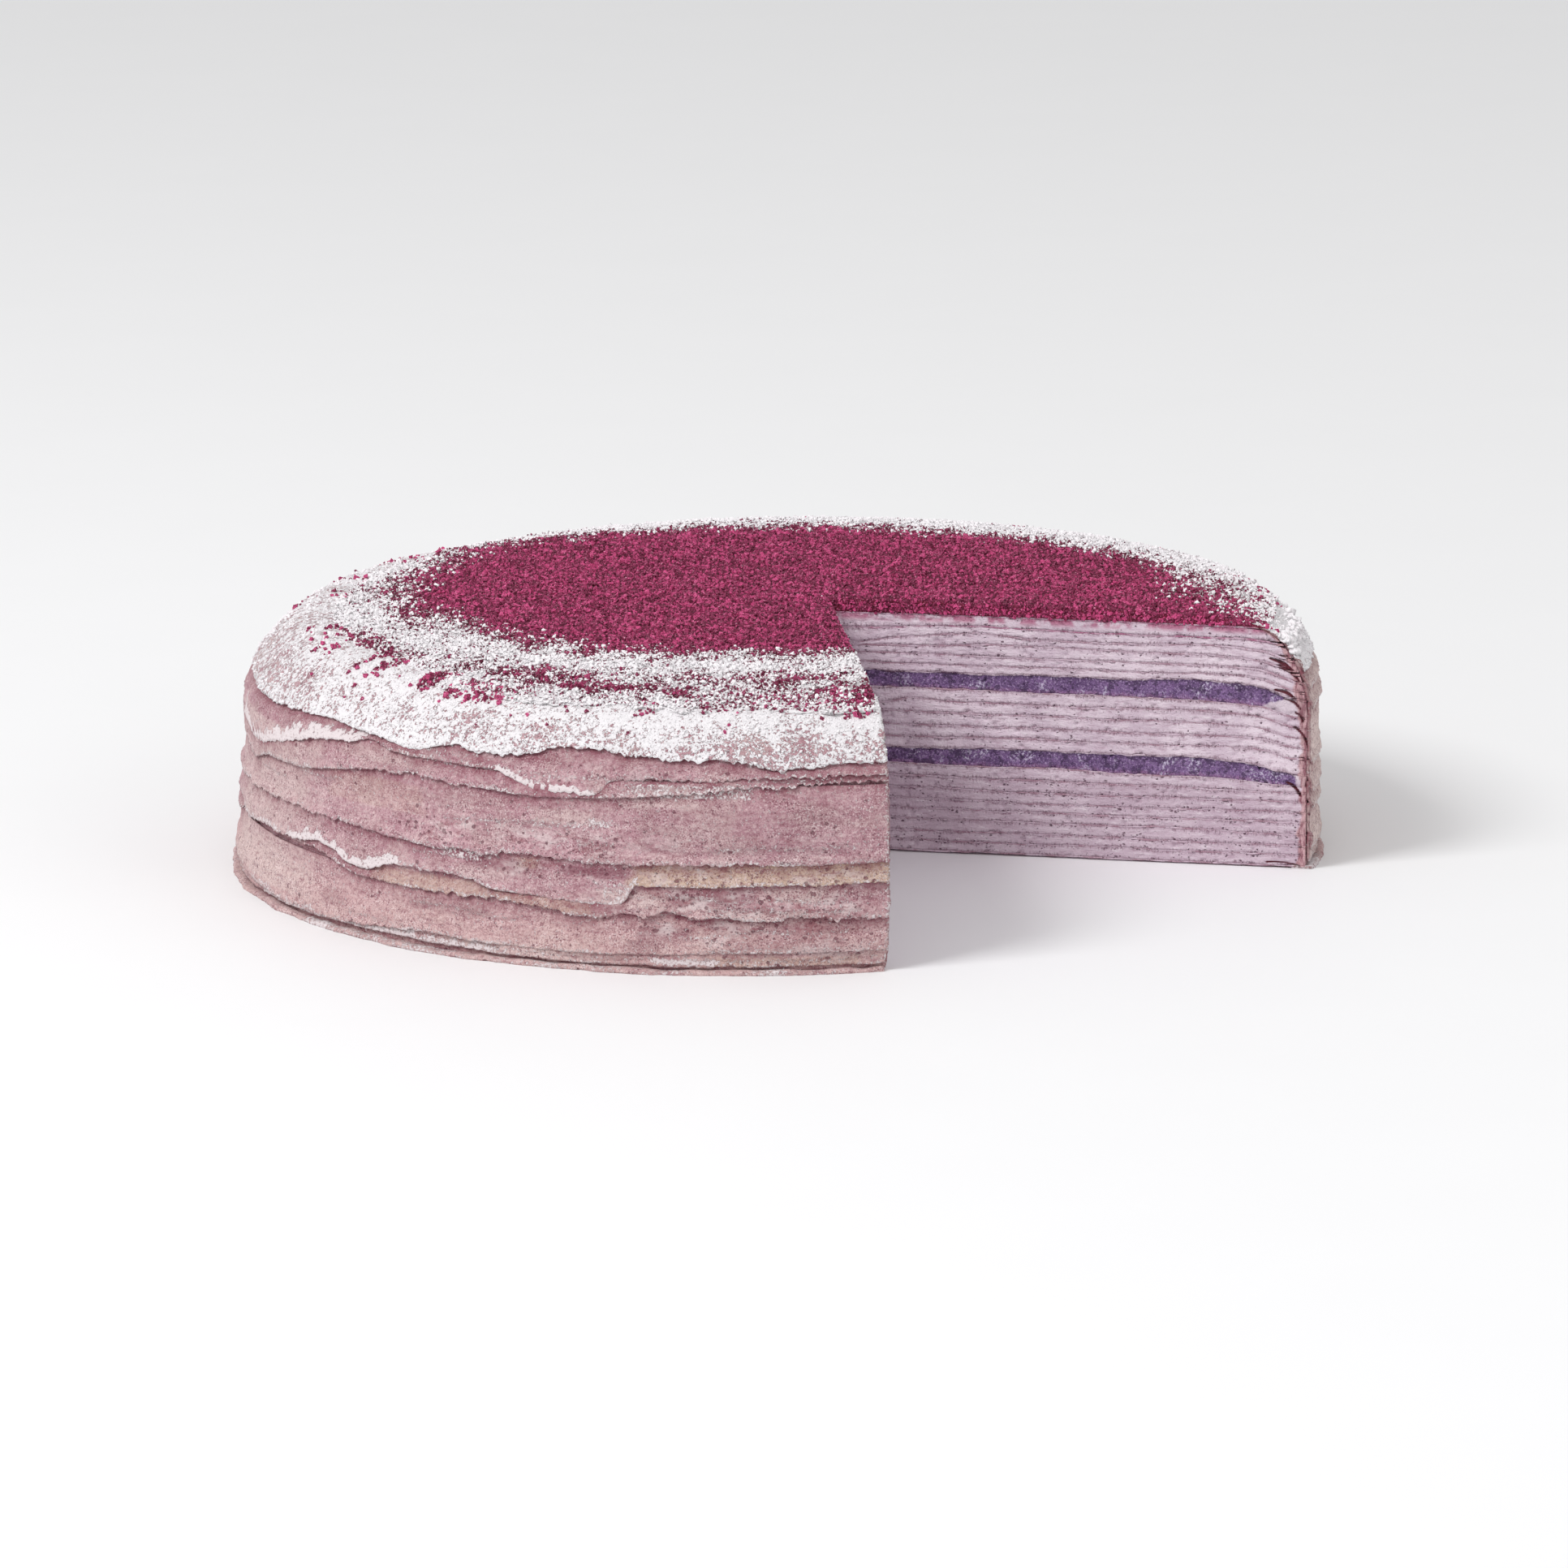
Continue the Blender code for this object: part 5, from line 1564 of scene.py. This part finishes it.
class CAKE_OT_crumbs(bpy.types.Operator):
    """The bed of cake crumbs, the loose crumbs on it, and the powdered sugar"""

    bl_idname = "cake.crumbs"
    bl_label = "Crumbs and Sugar"

    def execute(self, context):
        sizes, look = context.scene.cake_sizes, context.scene.cake_look
        crumbs, sugar = crumb_material(look), sugar_material(look)
        shell = Shell()
        bed_shell(shell, sizes.crumb_detail)
        bed = shell.finish("crumb_bed", crumbs)
        # painted shade: the bed under the loose crumbs gets the darkest tint, so it reads as the gaps between them
        add_attribute(bed.data, "tint", np.full(len(bed.data.vertices), 0.15))
        settle(bed, "crumbs", "crumb_topping")
        big = scatter("loose_crumbs", bed.data.copy(), 12, crumbs, Per_Square_Metre=2200000.0,
                      Least_Gap=1.0 * MM, Smallest=0.7 * MM, Largest=sizes.crumb_size, Sunk=0.1 * MM, Seed=4,
                      Density="strewn")
        small = scatter("fine_crumbs", bed.data.copy(), 8, crumbs, Per_Square_Metre=2600000.0,
                        Least_Gap=0.85 * MM, Smallest=0.4 * MM, Largest=0.95 * MM, Sunk=0.3 * MM, Seed=9,
                        Density="strewn")
        edge = scatter("cut_edge_crumbs", bed.data.copy(), 12, crumbs, Per_Square_Metre=9000000.0,
                       Least_Gap=0.42 * MM, Smallest=0.5 * MM, Largest=1.1 * MM, Sunk=-0.1 * MM, Seed=31,
                       Density="edging")
        clumps = scatter("crumb_clumps", bed.data.copy(), 20, crumbs, Per_Square_Metre=900000.0,
                         Least_Gap=1.3 * MM, Smallest=1.1 * MM, Largest=2.3 * MM, Sunk=0.2 * MM, Seed=37,
                         Density="clumps")
        for piece in (big, small, edge, clumps):
            points = points_of(piece.data)
            for key in ("sugar", "raw"):
                if key in piece.data.attributes:
                    piece.data.attributes.remove(piece.data.attributes[key])
            add_attribute(piece.data, "sugar", ring_cover(points[:, 0], points[:, 1]))
            settle(piece, "crumbs")
        dust = scatter("ring_sugar", clumped(bed.data.copy(), 5.0), 8, sugar, Per_Square_Metre=4500000.0,
                       Least_Gap=0.48 * MM, Smallest=0.4 * MM, Largest=1.4 * sizes.grain_size, Sunk=0.4 * MM,
                       Seed=14, Density="sugar")
        dust.data.shade_smooth()
        settle(dust, "crumbs")
        shoulder = bpy.data.objects["crepe_22_sheet"].data
        dust = scatter("shoulder_sugar", clumped(shoulder.copy(), 3.0), 8, sugar, Per_Square_Metre=3000000.0,
                       Least_Gap=0.5 * MM, Smallest=0.3 * MM, Largest=1.2 * sizes.grain_size, Sunk=0.0, Seed=19,
                       Density="sugar")
        dust.data.shade_smooth()
        settle(dust, "crumbs")
        heap = scatter("sugar_heap", shoulder.copy(), 20, sugar, Per_Square_Metre=1600000.0,
                       Least_Gap=0.7 * MM, Smallest=0.8 * MM, Largest=2.3 * MM, Sunk=0.4 * MM, Seed=41,
                       Density="heap")
        heap.data.shade_smooth()
        settle(heap, "crumbs")
        spilled = scatter("spilled_crumbs", shoulder.copy(), 12, crumbs, Per_Square_Metre=2200000.0,
                          Least_Gap=0.6 * MM, Smallest=0.5 * MM, Largest=1.4 * MM, Sunk=0.1 * MM, Seed=23,
                          Density="spill")
        add_attribute(spilled.data, "raw", np.full(len(spilled.data.vertices), 0.2))
        spilled.data.attributes["sugar"].data.foreach_set("value", np.full(len(spilled.data.vertices), 0.12, np.float32))
        settle(spilled, "crumbs")
        return {"FINISHED"}


class CAKE_OT_stage(bpy.types.Operator):
    """A pale floor, soft light and the camera"""

    bl_idname = "cake.stage"
    bl_label = "Stage"

    def execute(self, context):
        scene, look = context.scene, context.scene.cake_look
        reach = 6.0
        mesh = bpy.data.meshes.new("floor")
        mesh.from_pydata([(-reach, -reach, 0), (reach, -reach, 0), (reach, reach, 0), (-reach, reach, 0)], [],
                         [(0, 1, 2, 3)])
        mesh.materials.append(floor_material(look))
        floor = bpy.data.objects.new("floor", mesh)
        scene.collection.objects.link(floor)
        world = bpy.data.worlds.new("soft_studio")
        world.use_nodes = True
        world.node_tree.nodes["Background"].inputs[0].default_value = (1, 1, 1, 1)
        world.node_tree.nodes["Background"].inputs[1].default_value = 0.62
        scene.world = world
        scene.view_settings.view_transform = "Standard"
        for name, energy, size, place in (
            ("key", 24.0, 0.8, (-1.2, -0.8, 1.5)),
            ("fill", 5.0, 1.4, (1.5, -1.3, 0.9)),
        ):
            lamp = bpy.data.lights.new(name, "AREA")
            lamp.energy = energy
            lamp.size = size
            holder = bpy.data.objects.new(name, lamp)
            holder.location = place
            holder.rotation_euler = (-Vector(place)).to_track_quat("-Z", "Y").to_euler()
            scene.collection.objects.link(holder)
        add_camera(scene)
        return {"FINISHED"}


def add_camera(scene):
    distance, rise, roll = 2.0, math.radians(12.81), math.radians(0.765)
    lens = bpy.data.cameras.new("camera")
    lens.sensor_width = 36
    lens.lens = 218.5
    lens.shift_x = 0.00435
    lens.shift_y = 0.0413
    lens.clip_start = 0.05
    back = Vector((0, -math.cos(rise), math.sin(rise)))
    up = Vector((0, math.sin(rise), math.cos(rise)))
    right = Vector((1, 0, 0))
    across = right * math.cos(roll) - up * math.sin(roll)
    upright = right * math.sin(roll) + up * math.cos(roll)
    camera = bpy.data.objects.new("camera", lens)
    camera.matrix_world = [(*row, 0) for row in (across, upright, back)] + [(0, 0, 0, 1)]
    camera.matrix_world.transpose()
    matrix = camera.matrix_world.copy()
    matrix.transpose()
    matrix.translation = back * distance
    camera.matrix_world = matrix
    scene.collection.objects.link(camera)
    scene.camera = camera


OPERATORS = (CAKE_OT_fillings, CAKE_OT_crepes, CAKE_OT_crumbs, CAKE_OT_stage)


class CAKE_PT_panel(bpy.types.Panel):
    """Lists the cake's parts in the order they are built"""

    bl_idname = "CAKE_PT_panel"
    bl_label = "Mille Crepe Cake"
    bl_space_type = "VIEW_3D"
    bl_region_type = "UI"
    bl_category = "Cake"

    def draw(self, context):
        for group in (context.scene.cake_sizes, context.scene.cake_look):
            for name in group.__annotations__:
                self.layout.prop(group, name)
        for operator in OPERATORS:
            self.layout.operator(operator.bl_idname)


CLASSES = (CakeSizes, CakeLook, *OPERATORS, CAKE_PT_panel)


def register():
    for kind in CLASSES:
        bpy.utils.register_class(kind)
    bpy.types.Scene.cake_sizes = bpy.props.PointerProperty(type=CakeSizes)
    bpy.types.Scene.cake_look = bpy.props.PointerProperty(type=CakeLook)


def unregister():
    del bpy.types.Scene.cake_look
    del bpy.types.Scene.cake_sizes
    for kind in reversed(CLASSES):
        bpy.utils.unregister_class(kind)


def corners(box):
    """A box as plain lists of numbers."""
    return [[float(value) for value in corner] for corner in box]


def main():
    register()
    bpy.ops.cake.fillings()
    bpy.ops.cake.crepes()
    bpy.ops.cake.crumbs()
    bpy.ops.cake.stage()


if __name__ == "__main__":
    main()
